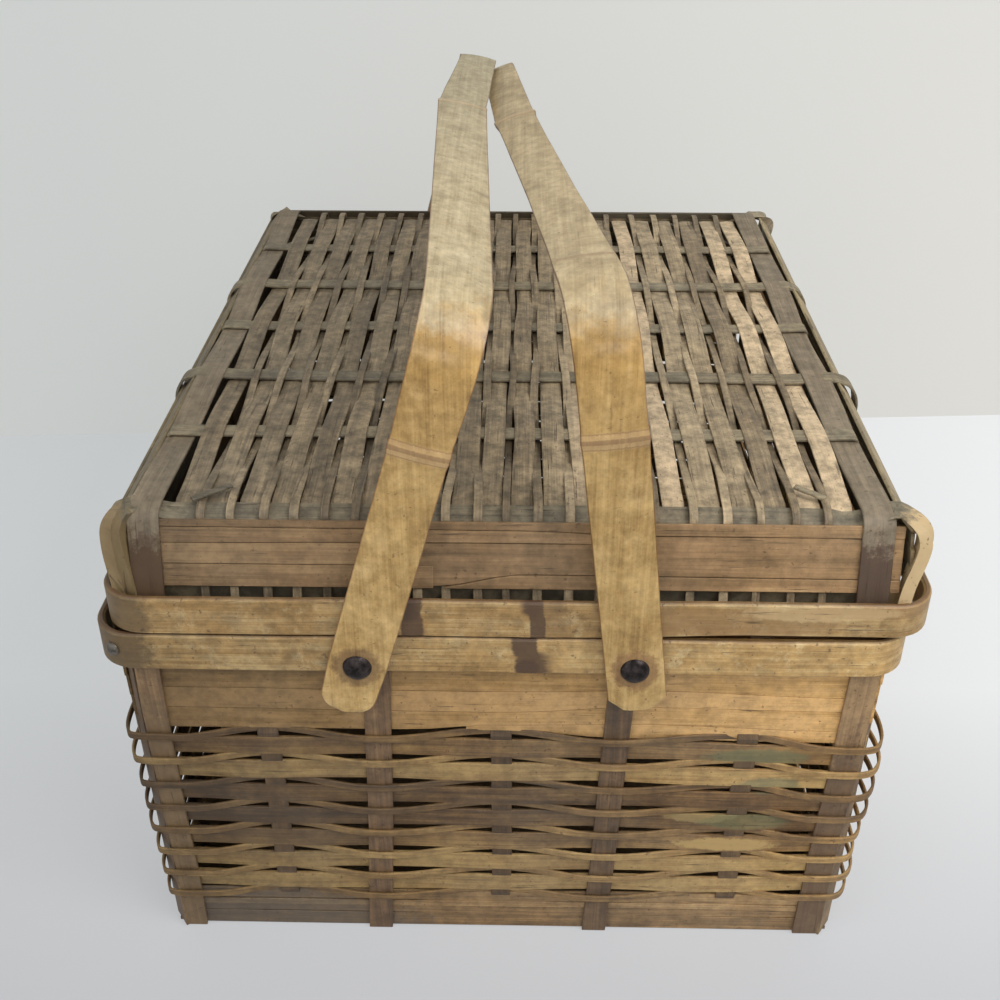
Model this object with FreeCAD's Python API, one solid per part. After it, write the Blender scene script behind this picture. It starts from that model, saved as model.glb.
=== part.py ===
import FreeCAD, Part
import math
import os

# Bamboo splint fishing creel with a lid hinged on its left side and two swing handles.
# X runs across the short end, Y runs from the near end to the far end, Z is up.
# The origin is the middle of the base. Lengths are millimetres, angles are degrees.

# Whole basket
rim_width = 337.0
rim_depth = 392.0
body_height = 187.0
lid_height = 50.0
body_flare_x = 10.5
body_flare_y = 15.0
lid_taper_x = 18.5
lid_taper_y = 16.0
lid_shift = 3.0

# Splint stock
splint_thick = 1.4
stake_thick = 1.6
wale_thick = 1.2
lay_gap = 0.1
split_gap = 0.5
parting_gap = 0.3

# Rim bands and hoops
band_height = 18.0
band_thick = 3.0
band_radius = 16.0
collar_thick = 2.4
collar_rise = 6.0
collar_drop = 22.0
lid_hoop_thick = 2.4
lid_hoop_height = 8.0
lid_hoop_lift = 10.0

# Body walls
rim_slat_zone = 36.0
base_slat_zone = 26.0
rim_slat_shares = [0.11, 0.35, 0.31, 0.23]
base_slat_shares = [0.35, 0.20, 0.16, 0.29]
wale_count = 8
wale_height = 4.0
wide_wale_height = 9.6
wale_radius = 6.5
outer_stake_width = 11.0
inner_stake_width = 9.0
corner_stake_width = 10.5
corner_stake_inset = 9.0
corner_open = 5.0
short_side_stake_count = 7
long_side_stake_count = 9
stake_drop = 2.0
stake_lift = 0.4

# Bottom
bottom_thick = 2.0
bottom_splint_width = 11.0
bottom_splint_count = 9

# Lid
lid_slat_shares = [0.355, 0.290, 0.215, 0.140]
lid_slat_drop = 4.6
lid_foot = 3.0
lid_over_collar = 2.0
lid_splint_thick = 1.2
row_count = 7
row_width = 9.0
row_inset = 4.0
row_bend = 4.0
narrow_count = 21
narrow_width = 4.0
wide_width = 9.6
corner_strap_width = 12.0
corner_strap_inset = 1.0
strap_bend = 3.0
lid_corner_open = 2.0
brace_length = 58.0
brace_width = 8.0
brace_inset = 34.0

# Swing handles
pivot_drop = 12.0
left_pivot_x = -57.5
right_pivot_x = 53.5
handle_radius = 159.5
handle_thick = 3.0
shoulder_radius = 28.0
leg_length = 104.0
handle_clear = 0.5
left_leg_width = 26.0
left_grip_width = 23.0
left_tail = 24.0
left_tail_corner = 8.0
bend_step_count = 6
left_lean_near = 15.9
left_lean_far = 9.9
right_leg_width = 23.0
right_grip_width = 22.0
right_tail = 21.0
right_tail_corner = 6.0
right_lean_near = -6.9
right_lean_far = -25.2

# Pivot rivets
rivet_radius = 2.6
rivet_head_radius = 5.9
rivet_head_height = 2.8
rivet_dome_shares = [(1.0, 0.0), (0.93, 0.42), (0.52, 0.9), (0.0, 1.0)]
rivet_run_clear = 0.08
rivet_fit = 0.05
rivet_burr_radius = 4.6
rivet_burr_height = 1.2

# Small rivet that closes the body band at its near left corner
lap_rivet_radius = 1.4
lap_head_radius = 2.4
lap_head_height = 1.2

# Hinges
hinge_pin_radius = 1.2
hinge_wall = 1.3
hinge_run_clear = 0.06
hinge_knuckle = 10.0
hinge_side_clear = 0.3
hinge_leaf_thick = 1.0
hinge_leaf_height = 13.0
hinge_seat = 0.2
hinge_share = 0.58

# Worked out from the sizes above
full_turn = 360.0
right_angle = 90.0
half_right = 45.0
overrun = left_leg_width
lid_top = body_height + lid_height
base_width = rim_width - 2 * body_flare_x
base_depth = rim_depth - 2 * body_flare_y
lid_top_width = rim_width - 2 * lid_taper_x
lid_top_depth = rim_depth - 2 * lid_taper_y
rim_half_x = rim_width / 2
rim_half_y = rim_depth / 2
band_inner_x = rim_half_x - band_thick
band_inner_y = rim_half_y - band_thick
base_half = {
    "near": base_depth / 2,
    "far": base_depth / 2,
    "left": base_width / 2,
    "right": base_width / 2,
}
stake_room = stake_thick + 2 * lay_gap
wall_half = {
    "near": band_inner_y - stake_room,
    "far": band_inner_y - stake_room,
    "left": band_inner_x - stake_room,
    "right": band_inner_x - stake_room,
}
turn = {"near": 0, "right": right_angle, "far": 2 * right_angle, "left": 3 * right_angle}
across = {"near": "right", "far": "right", "left": "near", "right": "near"}
short_sides = ("near", "far")
wale_low = base_slat_zone
wale_high = body_height - band_height - rim_slat_zone
wale_pitch = (wale_high - wale_low) / (wale_count - 1)
lid_foot_z = body_height + lid_foot
lid_inner_foot_z = body_height + collar_rise + lid_over_collar
lid_foot_half = {
    "near": band_inner_y - lay_gap - stake_room,
    "far": band_inner_y - lay_gap - stake_room,
    "left": band_inner_x - lay_gap - stake_room,
    "right": band_inner_x - lay_gap - stake_room,
}
lid_top_half = {
    "near": lid_top_depth / 2,
    "far": lid_top_depth / 2,
    "left": lid_top_width / 2,
    "right": lid_top_width / 2,
}
pivot_z = body_height - pivot_drop
leg_inner = rim_half_y + handle_clear
leg_outer = leg_inner + handle_thick
hinge_x = -(rim_half_x + hinge_seat + hinge_pin_radius + hinge_run_clear + hinge_wall)
hinge_y = rim_half_y * hinge_share

os.makedirs("parts", exist_ok=True)


def save(name, shapes):
    """Writes one piece, or a group of separate solids, under its name."""
    if not isinstance(shapes, list):
        shapes = [shapes]
    solids = []
    for shape in shapes:
        solids.extend(shape.Solids)
    result = solids[0] if len(solids) == 1 else Part.makeCompound(solids)
    result.exportStep("parts/" + name + ".step")


def vec(x, y, z):
    return FreeCAD.Vector(x, y, z)


def block(x0, x1, y0, y1, z0, z1):
    return Part.makeBox(x1 - x0, y1 - y0, z1 - z0, vec(x0, y0, z0))


def half_at(side, z):
    """Half size of the body's slats, outside, at a height."""
    low = base_half[side]
    return low + (wall_half[side] - low) * z / body_height


def lid_half_at(side, z):
    """Half size of the lid's slats, outside, at a height."""
    low = lid_foot_half[side]
    share = (z - lid_foot_z) / (lid_top - lid_foot_z)
    return low + (lid_top_half[side] - low) * share


def on_wall(side, half, u0, u1, z0, z1, w0, w1):
    """A flat strip on a leaning wall. u runs along the wall, w outward from the slats' outer face."""
    lean = math.atan2(half(side, z1) - half(side, z0), z1 - z0)
    rise = (z1 - z0) / math.cos(lean)
    strip = Part.makeBox(u1 - u0, w1 - w0, rise, vec(u0, -w1, 0))
    strip.rotate(vec(0, 0, 0), vec(1, 0, 0), math.degrees(lean))
    strip.translate(vec(0, -half(side, z0), z0))
    strip.rotate(vec(0, 0, 0), vec(0, 0, 1), turn[side])
    return strip


def rounded_ring(half_x, half_y, radius, thick, z0, z1):
    """A hoop of flat stock with rounded corners."""
    outer = rounded_block(half_x, half_y, radius, z0, z1)
    return outer.cut(rounded_block(half_x - thick, half_y - thick, radius - thick, z0, z1))


def rounded_block(half_x, half_y, radius, z0, z1):
    solid = block(-half_x, half_x, -half_y, half_y, z0, z1)
    upright = [e for e in solid.Edges if abs(e.Vertexes[0].Z - e.Vertexes[-1].Z) > (z1 - z0) / 2]
    return solid.makeFillet(radius, upright)


def bent_strap(points, radius, thick, low, high):
    """A flat strap bent along points given in a plane of run and height, low to high across it.

    The points are the strap's outer face. It turns with an arc of the given radius at each inner point.
    """
    outer = points
    inner = offset_points(points, thick)
    face = Part.Face(Part.Wire(rounded_edges(outer, radius) + closing(outer, inner)
                               + rounded_edges(inner, radius - thick)[::-1]))
    return face, high - low


def closing(outer, inner):
    return [
        Part.LineSegment(outer[-1], inner[-1]).toShape(),
        Part.LineSegment(inner[0], outer[0]).toShape(),
    ]


def offset_points(points, thick):
    """The same path moved to its right by the strap's thickness."""
    moved = []
    for i, p in enumerate(points):
        directions = []
        if i > 0:
            directions.append((p - points[i - 1]).normalize())
        if i < len(points) - 1:
            directions.append((points[i + 1] - p).normalize())
        normals = [vec(d.z, 0, -d.x) for d in directions]
        if len(normals) == 1:
            moved.append(p + normals[0] * thick)
        else:
            mean = normals[0] + normals[1]
            moved.append(p + mean * (thick * 2 / mean.dot(mean)))
    return moved


def rounded_edges(points, radius):
    """Straight runs joined by tangent arcs, or by plain corners where the radius is nothing."""
    if radius <= 0:
        return [Part.LineSegment(a, b).toShape() for a, b in zip(points, points[1:])]
    edges = []
    last = points[0]
    for before, corner, after in zip(points, points[1:], points[2:]):
        a = (before - corner).normalize()
        b = (after - corner).normalize()
        half_turn = math.acos(max(-1.0, min(1.0, a.dot(b)))) / 2
        reach = radius / math.tan(half_turn)
        middle = (a + b).normalize()
        tip = corner + middle * (radius / math.sin(half_turn) - radius)
        start = corner + a * reach
        end = corner + b * reach
        edges.append(Part.LineSegment(last, start).toShape())
        edges.append(Part.Arc(start, tip, end).toShape())
        last = end
    edges.append(Part.LineSegment(last, points[-1]).toShape())
    return edges


def over_lid(side, outward, top, low, place, width, radius):
    """A splint that crosses the lid and bends down both walls, outward from the slats by outward."""
    foot = lid_half_at(side, low) + outward
    head = lid_half_at(side, top) + outward
    path = [vec(-foot, 0, low), vec(-head, 0, top), vec(head, 0, top), vec(foot, 0, low)]
    face, wide = bent_strap(path, radius, lid_splint_thick, place - width / 2, place + width / 2)
    solid = face.extrude(vec(0, wide, 0))
    solid.translate(vec(0, place - width / 2, 0))
    if side in short_sides:
        solid.rotate(vec(0, 0, 0), vec(0, 0, 1), -right_angle)
    return solid


def lid_place(shape):
    """Moves a lid piece to where the lid sits, a little to the right of the body."""
    moved = shape.copy()
    moved.translate(vec(lid_shift, 0, 0))
    return moved


def places(count, span):
    """Places spread evenly from one end of a span to the other."""
    return [span * (i / (count - 1) - 0.5) for i in range(count)]


def rod(radius, y0, y1, x, z):
    return Part.makeCylinder(radius, y1 - y0, vec(x, y0, z), vec(0, 1, 0))


def pivot_places():
    return [(x, sign) for x in (left_pivot_x, right_pivot_x) for sign in (-1, 1)]


def drilled(shape):
    """Cuts the four rivet holes from a piece of the rim."""
    for x in (left_pivot_x, right_pivot_x):
        hole = rod(rivet_radius + rivet_fit, -leg_outer - overrun, leg_outer + overrun, x, pivot_z)
        shape = shape.cut(hole)
    return shape


# Bottom: splints that run front to back under a woven panel
bottom_top = stake_thick + lay_gap + bottom_thick
floor_half_x = base_half["left"] - splint_thick - lay_gap
floor_half_y = base_half["near"] - splint_thick - lay_gap
runner_span = 2 * floor_half_x - bottom_splint_width
runner_half = bottom_splint_width / 2
runners = [
    block(x - runner_half, x + runner_half, -floor_half_y, floor_half_y, 0, stake_thick)
    for x in places(bottom_splint_count, runner_span)
]
save("bottom_splints", runners)
inset = stake_thick + 2 * lay_gap
panel = block(
    -floor_half_x + inset, floor_half_x - inset, -floor_half_y + inset, floor_half_y - inset,
    stake_thick + lay_gap, bottom_top,
)
save("bottom_panel", panel)


# Walls of the body: slats and wide wales in one layer, stakes outside and inside them
def slat_rows(low, high, shares):
    rows = []
    z = low
    for share in shares:
        tall = (high - low) * share
        rows.append((z + split_gap / 2, z + tall - split_gap / 2))
        z += tall
    return rows


def slat_group(side, rows):
    group = []
    for z0, z1 in rows:
        end = half_at(across[side], z0) - corner_open
        group.append(on_wall(side, half_at, -end, end, z0, z1, -splint_thick, 0))
    return group


rim_rows = slat_rows(wale_high, body_height - lid_foot, rim_slat_shares)
base_rows = slat_rows(0, base_slat_zone, base_slat_shares)
wide_rows = [
    (z - wide_wale_height / 2, z + wide_wale_height / 2)
    for z in [wale_low + wale_pitch * (i + 0.5) for i in range(wale_count - 1)]
]
for side in turn:
    save(side + "_rim_slats", [drilled(s) for s in slat_group(side, rim_rows)])
    save(side + "_base_slats", slat_group(side, base_rows))
    save(side + "_wide_wales", slat_group(side, wide_rows))

for side in turn:
    count = short_side_stake_count if side in short_sides else long_side_stake_count
    half_span = base_half[across[side]] - corner_stake_inset
    outer = []
    inner = []
    for i, u in enumerate(places(count, 2 * half_span)):
        corner = i in (0, count - 1)
        if i % 2 == 0:
            wide = corner_stake_width if corner else outer_stake_width
            strip = on_wall(
                side, half_at, u - wide / 2, u + wide / 2, stake_lift, body_height - stake_drop,
                lay_gap, lay_gap + stake_thick,
            )
            outer.append(drilled(strip))
        else:
            back = splint_thick + lay_gap
            strip = on_wall(
                side, half_at, u - inner_stake_width / 2, u + inner_stake_width / 2, bottom_top + lay_gap,
                body_height - stake_drop, -back - stake_thick, -back,
            )
            inner.append(drilled(strip))
    save(side + "_outer_stakes", outer)
    save(side + "_inner_stakes", inner)

# Narrow wales: hoops that run round all four sides
for i in range(wale_count):
    z = wale_low + wale_pitch * i
    z0 = z - wale_height / 2
    z1 = z + wale_height / 2
    reach = lay_gap + stake_thick + lay_gap + wale_thick
    out_x = half_at("left", z1) + reach
    out_y = half_at("near", z1) + reach
    hoop = rounded_ring(out_x, out_y, wale_radius, wale_thick, z0, z1)
    save("wale_hoop_" + str(i + 1), hoop)

# Rim of the body
band_top = body_height - parting_gap / 2
band_low = body_height - band_height
lap_centre = band_radius * math.sqrt(0.5)
lap_x = -(rim_half_x - band_radius + lap_centre)
lap_y = -(rim_half_y - band_radius + lap_centre)
lap_way = vec(-1, -1, 0).normalize()
lap_seat = vec(lap_x, lap_y, pivot_z)
lap_start = lap_seat - lap_way * overrun
lap_hole = Part.makeCylinder(lap_rivet_radius + rivet_fit, 2 * overrun, lap_start, lap_way)
body_band = drilled(rounded_ring(rim_half_x, rim_half_y, band_radius, band_thick, band_low, band_top))
save("body_band", body_band.cut(lap_hole))
collar_low = body_height - collar_drop
back = splint_thick + lay_gap + stake_thick + 2 * lay_gap
collar_x = half_at("left", collar_low) - back
collar_y = half_at("near", collar_low) - back
collar_radius = band_radius - (rim_half_x - collar_x)
collar = drilled(
    rounded_ring(collar_x, collar_y, collar_radius, collar_thick, collar_low, body_height + collar_rise)
)
save("body_collar", collar)

# Lid: splints that cross each other, slats round the walls, hoops at the rim
row_top = lid_top - lid_splint_thick - lay_gap
wide_top = row_top - lid_splint_thick - lay_gap
slat_top = lid_top - lid_slat_drop
slat_low = body_height + band_height
row_span = lid_top_depth - 2 * row_inset - row_width
for i, y in enumerate(places(row_count, row_span)):
    outside = lay_gap + lid_splint_thick
    inside = -splint_thick - lay_gap
    outward, low = (outside, lid_foot_z) if i % 2 == 0 else (inside, lid_inner_foot_z)
    bend = row_bend if i % 2 == 0 else 0
    row = over_lid("left", outward, row_top, low, y, row_width, bend)
    save("lid_cross_splint_" + str(i + 1), lid_place(row))

narrow_span = lid_top_width - 2 * (corner_strap_inset + corner_strap_width + narrow_width)
narrow = []
for x in places(narrow_count, narrow_span):
    splint = over_lid("near", -splint_thick - lay_gap, lid_top, lid_inner_foot_z, x, narrow_width, 0)
    narrow.append(lid_place(splint))
save("lid_narrow_splints", narrow)

pitch = narrow_span / (narrow_count - 1)
wide_half = lid_top_depth / 2 - row_inset
wides = []
for x in places(narrow_count + 1, narrow_span + pitch):
    wides.append(
        lid_place(block(x - wide_width / 2, x + wide_width / 2, -wide_half, wide_half,
                        wide_top - lid_splint_thick, wide_top))
    )
save("lid_wide_splints", wides)

strap_place = lid_top_width / 2 - corner_strap_inset - corner_strap_width / 2
strap_outward = lay_gap + lid_splint_thick
straps = []
for x in (-strap_place, strap_place):
    strap = over_lid("near", strap_outward, lid_top, lid_foot_z, x, corner_strap_width, strap_bend)
    straps.append(lid_place(strap))
save("lid_corner_straps", straps)

lid_rows = slat_rows(slat_low, slat_top, lid_slat_shares)
for side in turn:
    slats = []
    for z0, z1 in lid_rows:
        end = lid_half_at(across[side], z1) - lid_corner_open
        slats.append(lid_place(on_wall(side, lid_half_at, -end, end, z0, z1, -splint_thick, 0)))
    save("lid_" + side + "_slats", slats)

lid_band = rounded_ring(
    rim_half_x, rim_half_y, band_radius, band_thick, body_height + parting_gap / 2, body_height + band_height
)
save("lid_band", lid_place(lid_band))
hoop_low = body_height + lid_hoop_lift
hoop_high = hoop_low + lid_hoop_height
hoop_back = splint_thick + lid_splint_thick + 3 * lay_gap
hoop_x = lid_half_at("left", hoop_high) - hoop_back
hoop_y = lid_half_at("near", hoop_high) - hoop_back
hoop_radius = band_radius - (rim_half_x - hoop_x)
lid_hoop = rounded_ring(hoop_x, hoop_y, hoop_radius, lid_hoop_thick, hoop_low, hoop_high)
save("lid_inner_hoop", lid_place(lid_hoop))

brace_top = wide_top - lid_splint_thick - lay_gap
braces = []
for sx in (-1, 1):
    for sy in (-1, 1):
        brace = block(
            -brace_length / 2, brace_length / 2, -brace_width / 2, brace_width / 2,
            brace_top - lid_splint_thick, brace_top,
        )
        brace.rotate(vec(0, 0, 0), vec(0, 0, 1), -half_right * sx * sy)
        brace.translate(vec(sx * (lid_top_width / 2 - brace_inset), sy * (lid_top_depth / 2 - brace_inset), 0))
        braces.append(lid_place(brace))
save("lid_corner_braces", braces)


# Swing handles: one bent strap each, stored as its near leg, its grip with both bends, and its far leg
def leg_stations(tail, tail_corner, side):
    """Middle of a leg's thickness from its foot up: place, height and turn from upright."""
    place = side * (leg_inner + handle_thick / 2)
    turned = 2 * right_angle if side > 0 else 0
    return [(place, z, turned) for z in (-tail, -tail + tail_corner, 0, leg_length)]


def grip_stations():
    """Middle of the strap's thickness from the near leg's top, over the grip, to the far leg's top."""
    side_y = leg_inner + handle_thick / 2
    grip_z = handle_radius - handle_thick / 2
    bend_z = grip_z - shoulder_radius
    stations = [(-side_y, leg_length, 0)]
    for step in places(bend_step_count, right_angle):
        turned = step + half_right
        a = math.radians(turned)
        y = -side_y + shoulder_radius * (1 - math.cos(a))
        stations.append((y, bend_z + shoulder_radius * math.sin(a), turned))
    mirrored = [(-y, z, 2 * right_angle - turned) for y, z, turned in reversed(stations)]
    return stations + [(0, grip_z, right_angle)] + mirrored


def strap(stations, pivot_x, leans, leg_width, grip_width, tail, tail_corner):
    """A length of a handle's flat strap. Its lean changes from the near leg to the far one."""
    side_y = leg_inner + handle_thick / 2
    sections = []
    for y, z, turned in stations:
        share = (y + side_y) / (2 * side_y)
        lean = math.radians(leans[0] + (leans[1] - leans[0]) * share)
        height_share = max(0.0, z / handle_radius)
        half_wide = (leg_width + (grip_width - leg_width) * height_share) / 2
        if z < -tail + tail_corner / 2:
            half_wide -= tail_corner
        a = math.radians(turned)
        corners = []
        for su, sw in ((-1, -1), (1, -1), (1, 1), (-1, 1)):
            yy = y - sw * math.cos(a) * handle_thick / 2
            zz = z + sw * math.sin(a) * handle_thick / 2
            xx = su * half_wide
            x = pivot_x + xx * math.cos(lean) + zz * math.sin(lean)
            corners.append(vec(x, yy, pivot_z - xx * math.sin(lean) + zz * math.cos(lean)))
        sections.append(Part.makePolygon(corners + [corners[0]]))
    return Part.makeLoft(sections, True, True)


def save_handle(name, pivot_x, leans, leg_width, grip_width, tail, tail_corner):
    hole = rod(rivet_radius + rivet_run_clear, -leg_outer - overrun, leg_outer + overrun, pivot_x, pivot_z)
    for leg, side in (("near", -1), ("far", 1)):
        stations = leg_stations(tail, tail_corner, side)
        piece = strap(stations, pivot_x, leans, leg_width, grip_width, tail, tail_corner)
        save(name + "_" + leg + "_leg", piece.cut(hole))
    grip = strap(grip_stations(), pivot_x, leans, leg_width, grip_width, tail, tail_corner)
    save(name + "_grip", grip)


left_leans = (left_lean_near, left_lean_far)
right_leans = (right_lean_near, right_lean_far)
save_handle(
    "left_handle", left_pivot_x, left_leans, left_leg_width, left_grip_width, left_tail, left_tail_corner
)
save_handle(
    "right_handle", right_pivot_x, right_leans, right_leg_width, right_grip_width, right_tail, right_tail_corner
)


# Pivot rivets through the legs and the rim, each clenched over inside
def turned_rivet(head_radius, head_height, shank_radius, seat, tail, burr_radius, burr_height):
    """A hammered rivet along Z: head above seat, shank down to tail, flattened burr below it."""
    low = tail - burr_height
    corners = [
        vec(shank_radius, 0, seat), vec(shank_radius, 0, tail), vec(burr_radius, 0, tail),
        vec(burr_radius, 0, low), vec(0, 0, low),
    ]
    head = [vec(head_radius * out, 0, seat + head_height * up) for out, up in rivet_dome_shares]
    ring = [corners[-1]] + head[::-1] + corners
    edges = [Part.LineSegment(a, b).toShape() for a, b in zip(ring, ring[1:])]
    return Part.Face(Part.Wire(edges)).revolve(vec(0, 0, 0), vec(0, 0, 1), full_turn)


def pivot_rivet(x, sign):
    solid = turned_rivet(
        rivet_head_radius, rivet_head_height, rivet_radius, leg_outer + handle_clear,
        collar_y - collar_thick - lay_gap, rivet_burr_radius, rivet_burr_height,
    )
    solid.rotate(vec(0, 0, 0), vec(1, 0, 0), -right_angle * sign)
    solid.translate(vec(x, 0, pivot_z))
    return solid


save("pivot_rivets", [pivot_rivet(x, sign) for x, sign in pivot_places()])

lap_rivet = turned_rivet(
    lap_head_radius, lap_head_height, lap_rivet_radius, split_gap / 2, -band_thick - split_gap,
    lap_head_radius, lap_head_height / 2,
)
lap_rivet.rotate(vec(0, 0, 0), vec(1, 0, 0), right_angle)
lap_rivet.rotate(vec(0, 0, 0), vec(0, 0, 1), -half_right)
lap_rivet.translate(lap_seat)
save("band_lap_rivet", lap_rivet)

# Hinges on the left side: a body leaf, a lid leaf and a pin each, with one knuckle on each leaf
knuckle_radius = hinge_pin_radius + hinge_run_clear + hinge_wall
leaf_width = 2 * hinge_knuckle
body_leaf_x = -(rim_half_x + hinge_seat)
lid_leaf_x = lid_shift - rim_half_x - hinge_seat
notch = knuckle_radius + hinge_side_clear


def knuckle(y0, y1):
    return rod(knuckle_radius, y0, y1, hinge_x, body_height)


def bored(shape, y0, y1):
    return shape.cut(rod(hinge_pin_radius + hinge_run_clear, y0, y1, hinge_x, body_height))


def body_leaf(y):
    y0 = y - leaf_width / 2
    y1 = y - hinge_side_clear / 2
    low = body_height - notch - hinge_leaf_height
    plate = block(body_leaf_x - hinge_leaf_thick, body_leaf_x, y0, y + leaf_width / 2, low, body_height - notch)
    tab = block(body_leaf_x - hinge_leaf_thick, body_leaf_x, y0, y1, low, body_height)
    return bored(plate.fuse(tab).fuse(knuckle(y0, y1)), y0, y1)


def lid_leaf(y):
    y0 = y + hinge_side_clear / 2
    y1 = y + leaf_width / 2
    low = body_height + notch
    web_low = body_height + hinge_pin_radius + hinge_run_clear + hinge_side_clear
    plate = block(lid_leaf_x - hinge_leaf_thick, lid_leaf_x, y - leaf_width / 2, y1, low, low + hinge_leaf_height)
    riser = block(lid_leaf_x - hinge_leaf_thick, lid_leaf_x, y0, y1, web_low, low)
    web = block(hinge_x, lid_leaf_x, y0, y1, web_low, web_low + hinge_leaf_thick)
    return bored(plate.fuse(riser).fuse(web).fuse(knuckle(y0, y1)), y0, y1)


save("hinge_body_leaves", [body_leaf(y) for y in (-hinge_y, hinge_y)])
save("hinge_lid_leaves", [lid_leaf(y) for y in (-hinge_y, hinge_y)])
pins = []
for y in (-hinge_y, hinge_y):
    pins.append(rod(hinge_pin_radius, y - leaf_width / 2, y + leaf_width / 2, hinge_x, body_height))
save("hinge_pins", pins)
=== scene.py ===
import bmesh
import bpy
import math
import random
from mathutils import Matrix, Vector


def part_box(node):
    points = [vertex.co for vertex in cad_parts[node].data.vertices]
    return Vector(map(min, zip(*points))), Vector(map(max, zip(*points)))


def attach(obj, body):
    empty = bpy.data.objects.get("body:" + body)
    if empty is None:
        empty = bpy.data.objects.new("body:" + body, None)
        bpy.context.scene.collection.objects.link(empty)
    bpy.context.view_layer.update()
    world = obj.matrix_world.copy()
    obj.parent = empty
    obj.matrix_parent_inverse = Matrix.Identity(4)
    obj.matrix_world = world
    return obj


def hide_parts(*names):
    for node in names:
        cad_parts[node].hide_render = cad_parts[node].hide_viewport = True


bl_info = {
    "name": "Splint creel",
    "version": (1, 0, 0),
    "blender": (4, 5, 0),
    "location": "View3D > Sidebar > Creel",
    "description": "Weaves a lidded bamboo splint creel around its packed frame",
    "category": "Object",
}

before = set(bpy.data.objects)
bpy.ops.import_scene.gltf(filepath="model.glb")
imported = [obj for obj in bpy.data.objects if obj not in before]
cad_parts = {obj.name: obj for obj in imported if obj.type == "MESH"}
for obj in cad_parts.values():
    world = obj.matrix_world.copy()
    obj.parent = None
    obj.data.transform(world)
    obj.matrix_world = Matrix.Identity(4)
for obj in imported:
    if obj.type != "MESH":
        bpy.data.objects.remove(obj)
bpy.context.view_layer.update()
MM = 0.001
BAND_LOW, BAND_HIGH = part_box("body_band")
LID_BAND_LOW, LID_BAND_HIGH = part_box("lid_band")
SIDES = ("near", "right", "far", "left")
TURNS = {"near": 0, "right": 90, "far": 180, "left": 270}
ACROSS = {"near": "left", "far": "left", "left": "near", "right": "near"}

# Heights and places of the woven parts, in metres
BASE_TOP = 0.026
WALE_TOP = 0.1295
RIM_SLAT_FOOT = 0.1315
STAKE_FOOT = 0.0004
STAKE_TOP = 0.184
INSIDE_LID_BAND = 0.1955
LID_SLAT_FOOT = 0.205
LID_EAVES = 0.2290
LID_SLAT_TOP = 0.2362
LID_NEAR_TOP = 0.2324
PIVOT_HEIGHT = 0.175
PIVOT_X = {"left_handle": -0.0575, "right_handle": 0.0535}


class CreelSizes(bpy.types.PropertyGroup):
    """Sizes of the basket, in metres, in the frame's own axes."""

    base_x: bpy.props.FloatProperty(
        name="Base half width", description="Outside of the side slats at the floor",
        default=0.1563, unit="LENGTH")
    base_y: bpy.props.FloatProperty(
        name="Base half depth", description="Outside of the end slats at the floor",
        default=0.181, unit="LENGTH")
    rim_x: bpy.props.FloatProperty(
        name="Rim half width", description="Outside of the side slats at the parting",
        default=0.1600, unit="LENGTH")
    rim_y: bpy.props.FloatProperty(
        name="Rim half depth", description="Outside of the end slats at the parting",
        default=0.1912, unit="LENGTH")
    parting: bpy.props.FloatProperty(
        name="Body height", description="Height of the parting between body and lid",
        default=0.187, unit="LENGTH")
    lid_top: bpy.props.FloatProperty(
        name="Lid top", description="Height of the lid's highest splints",
        default=0.237, unit="LENGTH")
    lid_foot: bpy.props.FloatProperty(
        name="Lid foot", description="Height of the lid slats' line at the rim",
        default=0.190, unit="LENGTH")
    lid_top_x: bpy.props.FloatProperty(
        name="Lid half width", description="Outside of the lid's side slats at its top",
        default=0.150, unit="LENGTH")
    lid_top_y: bpy.props.FloatProperty(
        name="Lid half depth", description="Outside of the lid's end slats at its top",
        default=0.180, unit="LENGTH")
    lid_shift: bpy.props.FloatProperty(
        name="Lid shift", description="How far the lid sits to the right of the body",
        default=0.003, unit="LENGTH")
    slat: bpy.props.FloatProperty(
        name="Slat thickness", description="Thickness of slats and wide wales",
        default=0.0014, unit="LENGTH")
    splint: bpy.props.FloatProperty(
        name="Splint thickness", description="Thickness of the narrow wales",
        default=0.0012, unit="LENGTH")
    stake: bpy.props.FloatProperty(
        name="Stake thickness", description="Thickness of the upright stakes",
        default=0.0016, unit="LENGTH")
    strap: bpy.props.FloatProperty(
        name="Handle thickness", description="Thickness of the handle straps",
        default=0.003, unit="LENGTH")


class CreelColours(bpy.types.PropertyGroup):
    """Colours of the aged bamboo, as sRGB hex text."""

    slat_dark: bpy.props.StringProperty(
        name="Slat shade", description="Grain of the slats", default="7A5B36")
    slat_light: bpy.props.StringProperty(
        name="Slat", description="Face of the slats", default="BC9560")
    lid_dark: bpy.props.StringProperty(
        name="Lid shade", description="Weathered lid, dark", default="40382B")
    lid_light: bpy.props.StringProperty(
        name="Lid", description="Weathered lid, pale", default="B09A7B")
    strap_dark: bpy.props.StringProperty(
        name="Handle shade", description="Handle grain", default="876839")
    strap_light: bpy.props.StringProperty(
        name="Handle", description="Handle face", default="D0B077")


def sizes():
    return bpy.context.scene.creel_sizes


# Shaping


def swing(at, knots):
    """Eases from one (place, value) to the next."""
    if at <= knots[0][0]:
        return knots[0][1]
    for (a, start), (b, end) in zip(knots, knots[1:]):
        if at <= b:
            return start + (end - start) * (1 - math.cos(math.pi * (at - a) / (b - a))) / 2
    return knots[-1][1]


def spread(start, end, count):
    return [start + (end - start) * i / (count - 1) for i in range(count)]


def clamp(value):
    return max(0.0, min(1.0, value))


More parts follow.
